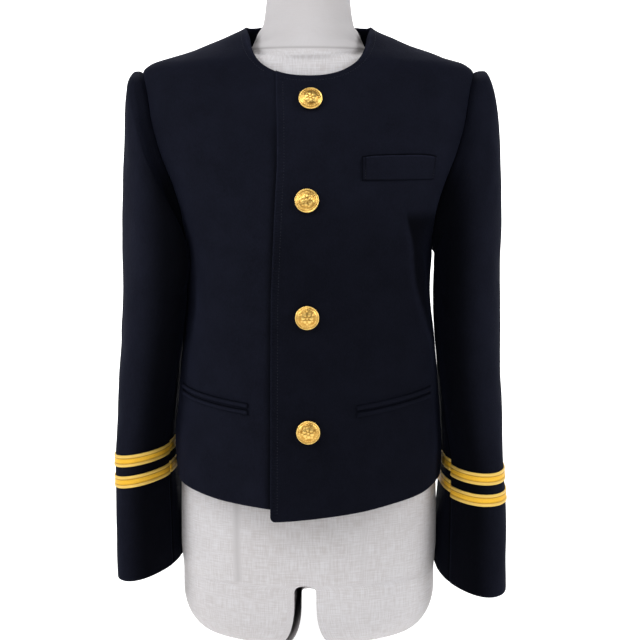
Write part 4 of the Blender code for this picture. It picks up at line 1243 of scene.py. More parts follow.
def wool_material():
    """Napped wool: a mottled dark ground, a short soft nap, light wear at the edges, and painted
    highlight and painted shade that the edge and seam marks carry.
    """
    wool = Surface("napped_wool", roughness=0.80, specular=0.02)
    place = wool.place()
    pattern = wool.pattern()
    base = tuple(colours().wool)
    nap = tuple(colours().nap)
    mottle = wool.noise(place, 38.0, 4.0, 0.62)
    patches = wool.noise(place, 11.0, 2.0, 0.5)
    fibres = wool.noise(wool.stretch(place, (1.0, 1.0, 0.45)), 900.0, 3.0, 0.7)
    clumps = wool.noise(place, 260.0, 3.0, 0.6)
    share = wool.math("ADD", wool.span(mottle, 0.36, 0.66, 0.10, 0.30),
                      wool.span(patches, 0.35, 0.65, 0.06, 0.20))
    share = wool.math("ADD", share, wool.span(fibres, 0.35, 0.7, 0.0, 0.45))
    ground = wool.blend(share, base, nap)
    # The edge mark lightens the cloth: wear along free edges and the welt's top, and a painted
    # highlight on the left front's side ridge and along the middle of each pocket lip.
    wear_and_painted_highlight = wool.math("MULTIPLY", wool.mark("edge"), wool.span(clumps, 0.3, 0.6, 0.35, 1.0))
    ground = wool.blend(wear_and_painted_highlight, ground, tuple(1.9 * channel for channel in nap))
    # The seam mark darkens the cloth towards black: painted shade along the pocket seams, stitch
    # lines and welt opening, behind the left front's side ridge, down the sleeves' inner sides and
    # over the left front below the chest, and the painted shadow of the left front's edge on the
    # right front.
    ground = wool.blend(wool.mark("seam"), ground, tuple(0.12 * channel for channel in base))
    twill = wool.waves(wool.stretch(pattern, (1.0, 1.0, 1.0), math.radians(58)), 420.0, 1.2)
    ribs = wool.waves(pattern, 1 / PICK_PITCH / 3.1831, 0.3, "Y")
    band = wool.math("MULTIPLY", wool.mark("pick"), ribs)
    relief = wool.bump(wool.noise(place, 70.0, 3.0, 0.55), 0.0011, 0.35)
    relief = wool.bump(band, 0.00075, 0.9, relief)
    relief = wool.bump(clumps, sizes().nap_height, 0.45, relief)
    relief = wool.bump(fibres, 0.6 * sizes().nap_height, 0.7, relief)
    relief = wool.bump(twill, 0.00008, 0.35, relief)
    wool.set(wool.shader, {
        "Base Color": ground,
        "Normal": relief,
        "Sheen Weight": 0.018,
        "Sheen Roughness": 0.60,
        "Sheen Tint": (0.42, 0.50, 1.0, 1.0),
    })
    return wool.material


def thread_material():
    """Dull dark sewing thread."""
    thread = Surface("sewing_thread", roughness=0.7, specular=0.3)
    twist = thread.waves(thread.stretch(thread.place(), (1.0, 1.0, 1.0), 0.7), 1500.0)
    colour = thread.blend(twist, (0.007, 0.008, 0.013), (0.020, 0.023, 0.036))
    thread.set(thread.shader, {"Base Color": colour, "Normal": thread.bump(twist, 0.0001, 0.5)})
    return thread.material


def braid_material():
    """Woven gold braid: bright twisted cords along the edges and a ribbed field between, with painted
    shade where it lies low and in the furrow beside each cord.
    """
    gold = Surface("woven_braid", roughness=0.50, metallic=0.20, specular=0.25)
    pattern = gold.pattern()
    raised = gold.mark("raised")
    cord = gold.mark("cord")
    threads = gold.waves(pattern, 330.0, 0.6)
    chevrons = gold.waves(gold.stretch(pattern, (1.0, 1.0, 1.0), math.radians(42)), 300.0, 0.5)
    weave = gold.math("MULTIPLY", threads, gold.span(chevrons, 0.0, 1.0, 0.55, 1.0))
    twist = gold.waves(gold.stretch(pattern, (1.0, 1.0, 1.0), math.radians(-38)), 210.0, 0.3)
    grain = gold.noise(pattern, 600.0, 3.0, 0.6)
    # The raised mark carries the braid's painted shade: darker where it lies low and in the furrow
    # beside each cord.
    tone = gold.span(raised, 0.05, 0.60, 0.0, 0.75)
    tone = gold.math("ADD", tone, gold.span(grain, 0.3, 0.7, -0.08, 0.16))
    tone = gold.math("ADD", tone, gold.math("MULTIPLY", weave, 0.22))
    bright = tuple(colours().gold)
    deep = (bright[0] * 0.38, bright[1] * 0.28, bright[2] * 0.12)
    colour = gold.blend(gold.math("MINIMUM", tone, 1.0), deep, bright)
    pale = (bright[0] * 0.80, bright[1] * 0.97, bright[2] * 4.0)
    twisted = gold.math("MULTIPLY", cord, gold.span(twist, 0.1, 0.9, 0.55, 1.0))
    colour = gold.blend(twisted, colour, pale)
    height = gold.add("Mix", data_type="FLOAT")
    for socket, value in ((0, cord), (2, weave), (3, twist)):
        gold.put(height.inputs[socket], value)
    gold.set(gold.shader, {
        "Base Color": colour,
        "Roughness": gold.span(grain, 0.3, 0.7, 0.34, 0.50),
        "Normal": gold.bump(height.outputs[0], 0.00028, 0.8),
    })
    return gold.material


def brass_material():
    """Gilt brass, bright on what stands proud and dull in the hollows."""
    brass = Surface("button_brass", roughness=0.40, metallic=0.82)
    place = brass.place()
    bright = tuple(colours().brass)
    hollow = (bright[0] * 0.48, bright[1] * 0.35, bright[2] * 0.18)
    speckle = brass.noise(place, 1500.0, 3.0, 0.6)
    smudge = brass.noise(place, 240.0, 3.0, 0.55)
    tone = brass.math("ADD", brass.mark("raised"), brass.span(smudge, 0.3, 0.7, -0.22, 0.16))
    colour = brass.blend(brass.span(tone, 0.05, 0.75), hollow, bright)
    brass.set(brass.shader, {
        "Base Color": colour,
        "Roughness": brass.span(smudge, 0.3, 0.75, 0.28, 0.46),
        "Normal": brass.bump(speckle, 0.00007, 0.5),
    })
    return brass.material


def linen_material():
    """Plain woven linen with uneven threads, drawn tight over the form."""
    linen = Surface("form_linen", roughness=0.93, specular=0.2)
    pattern = linen.pattern()
    across = linen.noise(linen.stretch(pattern, (60.0, 900.0, 1.0)), 1.0, 2.0)
    down = linen.noise(linen.stretch(pattern, (900.0, 60.0, 1.0)), 1.0, 2.0)
    weft = linen.waves(pattern, 300.0, 0.8, "Y")
    warp = linen.waves(pattern, 300.0, 0.8, "X")
    weave = linen.math("MULTIPLY", weft, warp)
    slubs = linen.math("ADD", across, down)
    stain = linen.noise(linen.place(), 9.0, 3.0, 0.55)
    pale = tuple(colours().linen)
    dim = (pale[0] * 0.82, pale[1] * 0.79, pale[2] * 0.77)
    calm = linen.span(linen.mark("groove"), 0.0, 0.2, 1.0, 0.15)
    threads = linen.math("MULTIPLY", linen.span(slubs, 0.80, 1.20, -0.45, 0.45), calm)
    tone = linen.math("ADD", linen.math("ADD", threads, 0.5), linen.span(stain, 0.3, 0.7, -0.2, 0.2))
    colour = linen.blend(tone, dim, pale)
    colour = linen.blend(linen.mark("groove"), colour, tuple(0.58 * channel for channel in dim))
    relief = linen.bump(linen.math("MULTIPLY", weave, calm), 0.00018, 0.4)
    relief = linen.bump(linen.math("MULTIPLY", slubs, calm), 0.00022, 0.4, relief)
    linen.set(linen.shader, {"Base Color": colour, "Normal": relief, "Sheen Weight": 0.08})
    return linen.material


def floor_material():
    floor = Surface("studio_floor", roughness=0.95, specular=0.1)
    speck = floor.noise(floor.place(), 6.0, 3.0)
    tint = tuple(colours().floor)
    colour = floor.blend(speck, tint, tuple(0.985 * channel for channel in tint))
    floor.set(floor.shader, {
        "Base Color": colour,
        "Emission Color": (1.0, 1.0, 1.0, 1.0),
        "Emission Strength": 0.9,
    })
    return floor.material


def shared(name, maker):
    """The material of that name, made when it is first asked for."""
    return bpy.data.materials.get(name) or maker()


# ---- Operators ----------------------------------------------------------------------------
# The first and the last column of a grid, each with the column beside it.
FIRST_COLUMN = ((slice(None), 0), (slice(None), 1))
LAST_COLUMN = ((slice(None), -1), (slice(None), -2))


def top_row(first=None, last=None):
    """The last row of a grid between two columns, and the row beside it."""
    columns = slice(first, last)
    return (-1, columns), (-2, columns)


def pull_in(grid, *borders):
    """Moves borders of a grid half a seam's width towards the rows or columns beside them."""
    for part, inner in borders:
        grid[part] = grid[part] + HALF_SEAM * unit(grid[inner] - grid[part])


class JACKET_OT_form(bpy.types.Operator):
    """Make the limbless dress form that the jacket is shown on"""

    bl_idname = "jacket.make_form"
    bl_label = "Dress form"

    def rings(self, angle):
        rings = [on_surface(FORM, angle, np.full(len(angle), z)) for z in TORSO_LEVELS]
        for z, clearance in zip(SHOULDER_LEVELS, SHOULDER_CLEARANCES):
            points = on_surface(BODY, angle, np.full(len(angle), z))
            points -= surface_normals(BODY, points) * (CLOTH + clearance)
            rings.append(clear_of(NECK, points, 0.0))
        for z in NECK_LEVELS:
            rings.append(on_surface(NECK, angle, np.full(len(angle), z)))
        middle = rings[-1].mean(axis=0)
        for z, share in NECK_CAP:
            ring = middle + (rings[-1] - middle) * share
            ring[:, 2] = z
            rings.append(ring)
        return rings

    def torso(self):
        """Points of the torso and the neck, and how deep each lies in a seam."""
        angle = np.arange(FORM_CELLS_ROUND) * 2 * math.pi / FORM_CELLS_ROUND
        rows = Rows(self.rings(angle))
        where = spread(rows.at[-1], (), (0.0, 0.0015, 0.003, 0.005, 0.0065), 0.0042)
        where = np.union1d(where, rows.at[-2:])
        grid = rows.read(where)
        grid[-1] = rows.rows[-1]
        groove = np.zeros(grid.shape[:2])
        turn = np.broadcast_to(angle / (2 * math.pi), groove.shape)
        width = np.linalg.norm(np.roll(grid, -1, axis=1) - grid, axis=2).sum(axis=1)[:, None]
        for share in PRINCESS_SEAM_SHARES:
            away = (turn - share) * width
            line = bell(away, FORM_SEAM_WIDTH)
            groove = np.maximum(groove, 0.5 * line * (grid[..., 2] < PRINCESS_SEAM_TOP_Z))
        level = NECK_SEAM_Z - NECK_SEAM_DIP * np.cos(angle)
        above = grid[..., 2] - level
        groove = np.maximum(groove, 0.7 * bell(above, FORM_SEAM_WIDTH))
        normals = tube_normals(grid)
        groove[0] = 0.0
        groove[-3:] = 0.0
        flat = np.stack([turn * width.max(), np.broadcast_to(where[:, None], groove.shape)], axis=-1)
        tone = np.maximum(groove, NECK_TONE * smooth_step(above / 0.002 + 0.5))
        return grid - normals * (groove * FORM_SEAM_DEPTH)[..., None], tone, flat

    def stub(self, outline):
        """Rings of one thigh stub below the crotch, down to its flat foot."""
        width = np.abs(outline[:, 0]).max()
        shift = THIGH_GAP * (1 - np.abs(outline[:, 0]) / width)
        side = math.copysign(1, outline[:, 0].sum())
        foot = outline[:, :2] + np.stack([side * shift, np.zeros(len(shift))], axis=1)
        middle = (foot.max(axis=0) + foot.min(axis=0)) / 2
        away = foot - middle
        length = np.linalg.norm(away, axis=1, keepdims=True)
        rings = [outline]
        for t in np.linspace(0, 1, ARCH_ROWS + 1)[1:-1]:
            ring = outline.copy()
            ring[:, :2] += (foot - outline[:, :2]) * math.sqrt(1 - (1 - t) ** 2)
            ring[:, 2] += (STUB_LEVELS[0] - outline[:, 2]) * t
            rings.append(ring)
        for z in STUB_LEVELS:
            low = max(0.0, 1 - z / FOOT_HEIGHT)
            inset = FOOT_REACH * (1 - math.sqrt(1 - low * low))
            flat = middle + away * (1 - inset / length)
            rings.append(np.column_stack([flat, np.full(len(flat), z)]))
        return np.array(rings)

    def tube(self, bm, grid, groove, flat):
        """Adds a tube through rings: a spun line of vertices moved to the rings' points."""
        rows, cells = grid.shape[:2]
        line = [bm.verts.new((1.0, 0.0, row)) for row in range(rows)]
        edges = [bm.edges.new(pair) for pair in zip(line, line[1:])]
        before = set(bm.verts) - set(line)
        bmesh.ops.spin(
            bm, geom=line + edges, cent=(0, 0, 0), axis=(0, 0, 1),
            angle=2 * math.pi, steps=cells, use_merge=True,
        )
        depth = bm.verts.layers.float["groove"]
        pattern = bm.loops.layers.uv["pattern"]
        spun = [vert for vert in bm.verts if vert not in before]
        place = {}
        for vert in spun:
            cell = round(math.atan2(vert.co.y, vert.co.x) / (2 * math.pi) * cells) % cells
            place[vert] = (round(vert.co.z), cell)
        for vert, (row, cell) in place.items():
            vert.co = grid[row, cell]
            vert[depth] = groove[row, cell]
        for face in {face for vert in spun for face in vert.link_faces}:
            seam = max(place[loop.vert][1] for loop in face.loops) == cells - 1
            for loop in face.loops:
                row, cell = place[loop.vert]
                u, v = flat[row, cell]
                if seam and cell == 0:
                    u = flat[row, -1][0] + flat[row, 1][0]
                loop[pattern].uv = (u, v)

    def execute(self, context):
        grid, groove, flat = self.torso()
        bm = bmesh.new()
        bm.verts.layers.float.new("groove")
        bm.loops.layers.uv.new("pattern")
        self.tube(bm, grid, groove, flat)
        half = FORM_CELLS_ROUND // 2
        front, back = grid[0][0], grid[0][half]
        share = np.linspace(0, 1, CROTCH_CELLS + 1)[1:-1, None]
        crotch = front + (back - front) * share
        crotch[:, 2] += CROTCH_DIP * (2 * np.sin(math.pi * share[:, 0]) - 1)
        low = np.roll(grid[0], -half, axis=0)
        for outside in (grid[0][: half + 1], np.concatenate([low[:half][::-1], low[half:half + 1]])):
            if outside[0][1] > outside[-1][1]:
                outside = outside[::-1]
            outline = np.concatenate([outside, crotch[::-1]])
            rings = self.stub(outline)
            run = np.linalg.norm(np.roll(outline, -1, axis=0) - outline, axis=1).cumsum() - 0.002
            across = np.broadcast_to(run, rings.shape[:2])
            flat = np.stack([across, rings[..., 2] - CROTCH_Z], axis=-1)
            self.tube(bm, rings, np.zeros(rings.shape[:2]), flat)
        bmesh.ops.remove_doubles(bm, verts=bm.verts, dist=0.00002)
        open_edges = [edge for edge in bm.edges if edge.is_boundary]
        bmesh.ops.holes_fill(bm, edges=open_edges, sides=0)
        bmesh.ops.recalc_face_normals(bm, faces=bm.faces)
        form = add_mesh("linen_form", bm, shared("form_linen", linen_material))
        form.data.set_sharp_from_angle(angle=math.radians(50))
        own(form, "pale_linen", "dress_form")
        return {"FINISHED"}


class JACKET_OT_fronts(bpy.types.Operator):
    """Make the two fronts, the wearer's left one on top"""

    bl_idname = "jacket.make_fronts"
    bl_label = "Fronts"

    def shades(self, side, base):
        """Painted shade and painted highlight on a front: the painted shadow of the left front's edge
        on the right front, and on the left front a painted highlight on its side ridge, painted shade
        behind that ridge and over the cloth below the chest.
        """
        x, z = base[..., 0], base[..., 2]
        if side < 0:
            # Painted shadow that the left front's edge casts on the right front.
            past = x + EDGE.read(z)["x"]
            dark = LAP_SHADE * under(LAP_SHADE_TOP, z) * bell(past, LAP_SHADE_WIDTH)
            return {"edge": np.zeros(z.shape), "seam": dark}
        # Painted shade where the cloth turns away behind the ridge, and a painted highlight on the
        # ridge.
        past = x - np.interp(z, *zip(*RIDGE_ROWS))
        behind = RIDGE_SHADE * under(RIDGE_SHADE_TOP, z) * smooth_step(past / RIDGE_TURN)
        ridge = RIDGE_LIGHT * under(RIDGE_LIGHT_TOP, z)
        ridge = ridge * bell(past - RIDGE_LIGHT_AT, RIDGE_LIGHT_WIDTH)
        return {"edge": ridge, "seam": np.maximum(behind, left_shade(z))}

    def pick_band(self, places):
        """Strength of the ribbed band inside the front edge, and depth of the stitched channel."""
        inside = places[..., 0] - front_start(1)(places[..., 1])
        low, high = inside - PICK_BAND[0], PICK_BAND[1] - inside
        band = smooth_step(low / PICK_BAND_FADE) * smooth_step(high / PICK_BAND_FADE)
        band *= PICK_BAND_LEAST + (1 - PICK_BAND_LEAST) * under(PICK_BAND_TOP, places[..., 1])
        return band, CHANNEL_DEPTH * bell(inside - PICK_INSET, CHANNEL_WIDTH)

    def button_pull(self, places):
        """How far the sewn buttons draw the cloth in."""
        pull = np.zeros(places.shape[:2])
        for x, z in BUTTON_PLACES:
            away = np.hypot(places[..., 0] - float(FRONT.length_at_x(x, z)), places[..., 1] - z)
            pull += BUTTON_PULL_DEPTH * bell(away, BUTTON_PULL_WIDTH)
        return pull

    def execute(self, context):
        wool = shared("napped_wool", wool_material)
        for side, word, hem in ((1, "left", HEM_TOP_FRONT), (-1, "right", HEM_UNDER_FRONT)):
            places, neck_column = front_pattern(side, hem)
            base = FRONT.points(places)
            normals = surface_normals(BODY, base)
            free_edge = np.concatenate([base[-1, : neck_column + 1][::-1], base[::-1, 0], base[0]])
            arm_row = len(base) - 1 - ARM_CELLS
            seams = (base[: arm_row + 1, -1], base[arm_row:, -1], base[-1, neck_column:])
            free = distance_to(base, free_edge)
            seam = distance_to(base, *seams)
            loose = smooth_step(seam / CREASE_FADE)
            lift = front_relief(side, places, base[..., 0]) * loose
            lift += lap_raise(base[..., 0], side) * (1 - loose)
            # shades() gives the painted shade and the painted highlight; the free edges add wear.
            marks = self.shades(side, base)
            marks["edge"] += FRONT_WORN * bell(free, WORN_WIDTH)
            dip = turned_edge(free) + seam_dip(seam)
            if side > 0:
                marks["pick"], channel = self.pick_band(places)
                dip += channel
                lift -= self.button_pull(places)
            top = base + normals * (lift - dip)[..., None]
            foot = base + normals * (lift - CLOTH + turned_edge(free))[..., None]
            for grid in (top, foot):
                pull_in(grid, LAST_COLUMN, top_row(neck_column))
            outer, inner = on_side(side, top, foot)
            cloth = make_wall(f"front_{word}_cloth", outer, inner, places, marks, wool)
            own(cloth, "navy_wool", f"front_{word}")
        return {"FINISHED"}


class JACKET_OT_back(bpy.types.Operator):
    """Make the plain back panel"""

    bl_idname = "jacket.make_back"
    bl_label = "Back"

    def execute(self, context):
        half, neck_column = back_pattern()
        other = (half * np.array([-1.0, 1.0]))[:, :0:-1]
        places = np.concatenate([other, half], axis=1)
        middle = half.shape[1] - 1
        low, high = middle - neck_column, middle + neck_column
        base = BACK.points(places)
        normals = surface_normals(BODY, base)
        free = distance_to(base, base[0], base[-1, low : high + 1])
        seams = (base[:, 0], base[:, -1], base[-1, : low + 1], base[-1, high:])
        seam = distance_to(base, *seams)
        s, z = places[..., 0], places[..., 1]
        loose = smooth_step(seam / CREASE_FADE)
        lift = (crease_height(BACK_CREASES, s, z) + wobble(s, z, 0.6)) * loose
        top = base + normals * (lift - turned_edge(free) - seam_dip(seam))[..., None]
        foot = base + normals * (lift - CLOTH + turned_edge(free))[..., None]
        for grid in (top, foot):
            pull_in(grid, FIRST_COLUMN, LAST_COLUMN, top_row(0, low + 1), top_row(high))
        marks = {"edge": bell(free, WORN_WIDTH)}
        wool = shared("napped_wool", wool_material)
        cloth = make_wall("back_cloth", top, foot, places, marks, wool)
        own(cloth, "navy_wool", "back")
        return {"FINISHED"}


class JACKET_OT_sleeves(bpy.types.Operator):
    """Make the two-piece sleeves with their braid"""

    bl_idname = "jacket.make_sleeves"
    bl_label = "Sleeves and braid"

    def distances(self, sleeve, base):
        """Distances of a sleeve's points from its seams, the armhole and the cuff."""
        seams = distance_to(base, base[:, sleeve.front_seam], base[:, sleeve.back_seam])
        hole = distance_to(base, np.concatenate([base[-1], base[-1, :1]]))
        cuff = distance_to(base, np.concatenate([base[0], base[0, :1]]))
        return seams, hole, cuff

    def shade(self, base, head):
        """Painted shade on a sleeve where it turns in to the body."""
        x, z = base[..., 0], base[..., 2]
        outer, inner = x.max(axis=1)[:, None], x.min(axis=1)[:, None]
        inward = (outer - x) / (outer - inner)
        start = SLEEVE_SHADE_START - SLEEVE_SHADE_SPREAD * under(SLEEVE_FOREARM_TOP, z)
        turned = smooth_step((inward - start) / SLEEVE_SHADE_WIDTH)
        return SLEEVE_SHADE * turned * (1 - SLEEVE_HEAD_LIGHT * head)

    def braid_section(self, across):
        """Height of the braid at places across it, its brightness with painted shade where it lies
        low and in the furrow beside each cord, and which places are in its cords.
        """
        edge = np.minimum(across, BRAID_WIDTH - across)
        round_part = np.clip(BRAID_CORD**2 - (edge - BRAID_CORD) ** 2, 0, None)
        rib = 2 * math.pi * (across - BRAID_WIDTH / 2) / BRAID_RIB_PITCH
        field = BRAID_FIELD + BRAID_RIB * np.cos(rib)
        beside = edge - 2 * BRAID_CORD
        field *= smooth_step(beside / BRAID_FIELD_RISE + 0.35)
        in_cord = beside < 0
        cord = BRAID_CORD_FOOT + BRAID_CORD_SHARE * np.sqrt(round_part)
        height = np.where(in_cord, cord, np.maximum(field, BRAID_FIELD_LEAST))
        dip = bell(beside - BRAID_DIP_AT, BRAID_DIP_WIDTH)
        return height, (height / height.max()) * (1 - dip), in_cord.astype(float)

    def braid(self, sleeve, base, gold):
        """Two rings of braid, each in two lengths that meet at the sleeve's seams."""
        jog = LEFT_BRAID_JOG if sleeve.side > 0 else RIGHT_BRAID_JOG
        share = np.linspace(0, 1, BRAID_CELLS_ACROSS + 1)
        across = share * BRAID_WIDTH
        height, tone, in_cord = self.braid_section(across)
        pieces = []
        for word, low in (("lower", 2), ("upper", 4)):
            foot_at, top_at = sleeve.tube.at[low], sleeve.tube.at[low + 1]
            where = foot_at + (top_at - foot_at) * share
            for part, picked in (("upper", sleeve.upper), ("under", sleeve.under)):
                shift = np.zeros(sleeve.cells)
                if part == "under":
                    shift[picked] = jog * smooth_step(np.linspace(-0.35, 1.0, len(picked)))
                grid = sleeve.tube.read(where[:, None] + shift[None, :])
                normals = tube_normals(grid)
                seams = distance_to(grid, base[:, sleeve.front_seam], base[:, sleeve.back_seam])
                lift = sleeve.relief(grid) - seam_dip(seams)
                top = grid + normals * (lift + BRAID_SETBACK + height[:, None])[..., None]
                foot = grid + normals * (lift + BRAID_SETBACK)[..., None]
                top, foot = top[:, picked], foot[:, picked]
                for face in (top, foot):
                    pull_in(face, FIRST_COLUMN, LAST_COLUMN)
                run = np.arange(len(picked)) * SLEEVE_ROUND / sleeve.cells
                flat = np.stack(np.broadcast_arrays(run[None, :], across[:, None]), axis=-1)
                # raised holds the braid's brightness with its painted shade, cord the places in its
                # cords.
                marks = {
                    name: np.repeat(values[:, None], len(picked), axis=1)
                    for name, values in (("raised", tone), ("cord", in_cord))
                }
                node = f"{word}_braid_{part}_{sleeve.word}"
                outer, inner = on_side(sleeve.side, top, foot)
                made = make_wall(f"{node}_trim", outer, inner, flat, marks, gold)
                own(made, "gold_braid", node)
                pieces.append((part, made))
        return pieces

    def execute(self, context):
        wool = shared("napped_wool", wool_material)
        gold = shared("woven_braid", braid_material)
        for side in (1, -1):
            sleeve = Sleeve(side)
            where = spread(sleeve.tube.at[-1], EDGE_STEPS, SEAM_STEPS, CELL)
            base = sleeve.tube.read(where)
            normals = tube_normals(base)
            normals[-1] = unit(surface_normals(BODY, base[-1]) + normals[-1])
            seams, hole, cuff = self.distances(sleeve, base)
            relief = sleeve.relief(base) * smooth_step(hole / HEAD_CALM)
            head = smooth_step((base[..., 2] - HEAD_START_Z) / HEAD_START_FADE)
            roll = HEAD_ROLL_HEIGHT * head * bell(hole - HEAD_ROLL_AT, HEAD_ROLL_WIDTH)
            lift = relief + roll
            drop = turned_edge(cuff) + seam_dip(seams) + seam_dip(hole)
            top = base + normals * (lift - np.minimum(drop, SLEEVE_MOST_DIP))[..., None]
            foot = base + normals * (lift - CLOTH + turned_edge(cuff))[..., None]
            edge = bell(cuff, WORN_WIDTH)
            shade = self.shade(base, head)
            trims = self.braid(sleeve, base, gold)
            for part, picked in (("upper", sleeve.upper), ("under", sleeve.under)):
                panel, wrong_side = top[:, picked].copy(), foot[:, picked].copy()
                for grid in (panel, wrong_side):
                    pull_in(grid, FIRST_COLUMN, LAST_COLUMN, top_row())
                run = np.arange(len(picked)) * SLEEVE_ROUND / sleeve.cells
                places = np.stack(np.broadcast_arrays(run[None, :], where[:, None]), axis=-1)
                # The seam mark carries the sleeve's painted shade.
                marks = {"edge": edge[:, picked], "seam": shade[:, picked]}
                node = f"sleeve_{part}_{sleeve.word}"
                outer, inner = on_side(side, panel, wrong_side)
                cloth = make_wall(f"{node}_cloth", outer, inner, places, marks, wool)
                own(cloth, "navy_wool", node)
        return {"FINISHED"}


class JACKET_OT_pockets(bpy.types.Operator):
    """Make the chest welt and the lips of the two jetted pockets"""

    bl_idname = "jacket.make_pockets"
    bl_label = "Pockets"

    def strip(
        self, node, side, start, length, bottom, height, tilt, arch, round_height, cells, slit=False
    ):
        """A strip of cloth sewn on a front: round_height is its height over the front across it.

        slit adds rows past the strip's top edge, painted dark as the shade of its opening.
        """
        across = np.linspace(0, 1, cells + 1)
        if slit:
            across = np.append(across, 1 + np.array(WELT_SLIT) / height)
        s = start + spread(length, END_STEPS, END_STEPS, STRIP_CELL)[None, :]
        share = (s - start) / length
        rise = tilt * (s - start)
        top_line = height + arch * (1 - (2 * share - 1) ** 4)
        z = bottom + rise + across[:, None] * top_line
        s = np.broadcast_to(s, z.shape)
        end = np.minimum(s - start, start + length - s)
        proud = round_height(across[:, None] * top_line, top_line) * np.ones(z.shape)
        proud = proud * rounded(end, STRIP_END_ROUND, 0.06)
        top, _ = on_front(side, s, z, LIFT + proud)
        foot, _ = on_front(side, s, z, LIFT * 0.5)
        top, foot = on_side(side, top, foot)
        flat = np.stack([s, z], axis=-1)
        up = across[:, None] * top_line
        # Marks: wear along the welt's top edge and a painted highlight along the middle of each lip
        # lighten the cloth; painted shade darkens it along the sewn edges and ends, the welt's stitch
        # lines, the welt's opening and, on the left front, below the chest.
        edge = bell(end, STRIP_SEAM)
        if slit:
            wear_and_painted_highlight = bell(top_line - up, WORN_WIDTH)
            stitched = bell(end - WELT_STITCH_INSET, WELT_STITCH_WIDTH)
            painted_opening_shade = up > top_line + WELT_SLIT[0] / 4
            seam = np.maximum.reduce([bell(up, STRIP_SEAM), edge, 0.8 * stitched, painted_opening_shade])
        else:
            wear_and_painted_highlight = 0.12 * bell(up / top_line - 0.5, 0.2)
            seam = np.maximum.reduce([bell(up, LIP_SEAM), bell(top_line - up, LIP_SEAM), 0.8 * edge])
        seam = 0.95 * seam
        if side > 0:
            seam = np.maximum(seam, left_shade(z))
        marks = {"edge": wear_and_painted_highlight * (1 - seam), "seam": seam}
        wool = shared("napped_wool", wool_material)
        made = make_wall(f"{node}_cloth", top, foot, flat, marks, wool)
        own(made, "navy_wool", node)

    def welt_height(self, up, top_line):
        """Thin at the seam along the bottom, full and rounded at the open top."""
        sunk = rounded(up, WELT_FOOT_ROUND, 0.02)
        rolled = rounded(top_line - up, WELT_TOP_ROUND, 0.02)
        return CLOTH * (1.0 + WELT_FULLNESS * up / top_line) * sunk * rolled

    def lip_height(self, up, top_line):
        """A folded lip, round all over like a piping."""
        share = np.clip(up / top_line, 0, 1)
        return LIP_RISE * np.sqrt(np.clip(1 - (2 * share - 1) ** 2, 0.02, 1)) ** 1.1

    def execute(self, context):
        self.strip(
            "chest_welt", 1, WELT_INNER_S, WELT_LENGTH, WELT_BOTTOM_Z,
            WELT_HEIGHT, WELT_TILT, WELT_ARCH, self.welt_height, WELT_CELLS, slit=True,
        )
        for row in POCKET_ROWS:
            pocket = dict(zip(POCKET_COLUMNS, row))
            low = pocket["inner_z"]
            for part, bottom in (("lower", low), ("upper", low + LIP_HEIGHT + LIP_SPACE)):
                node = f"pocket_{part}_lip_{pocket['word']}"
                self.strip(
                    node, pocket["side"], pocket["inner_s"], POCKET_LENGTH,
                    bottom, LIP_HEIGHT, pocket["tilt"], 0.0, self.lip_height, LIP_CELLS,
                )
        return {"FINISHED"}


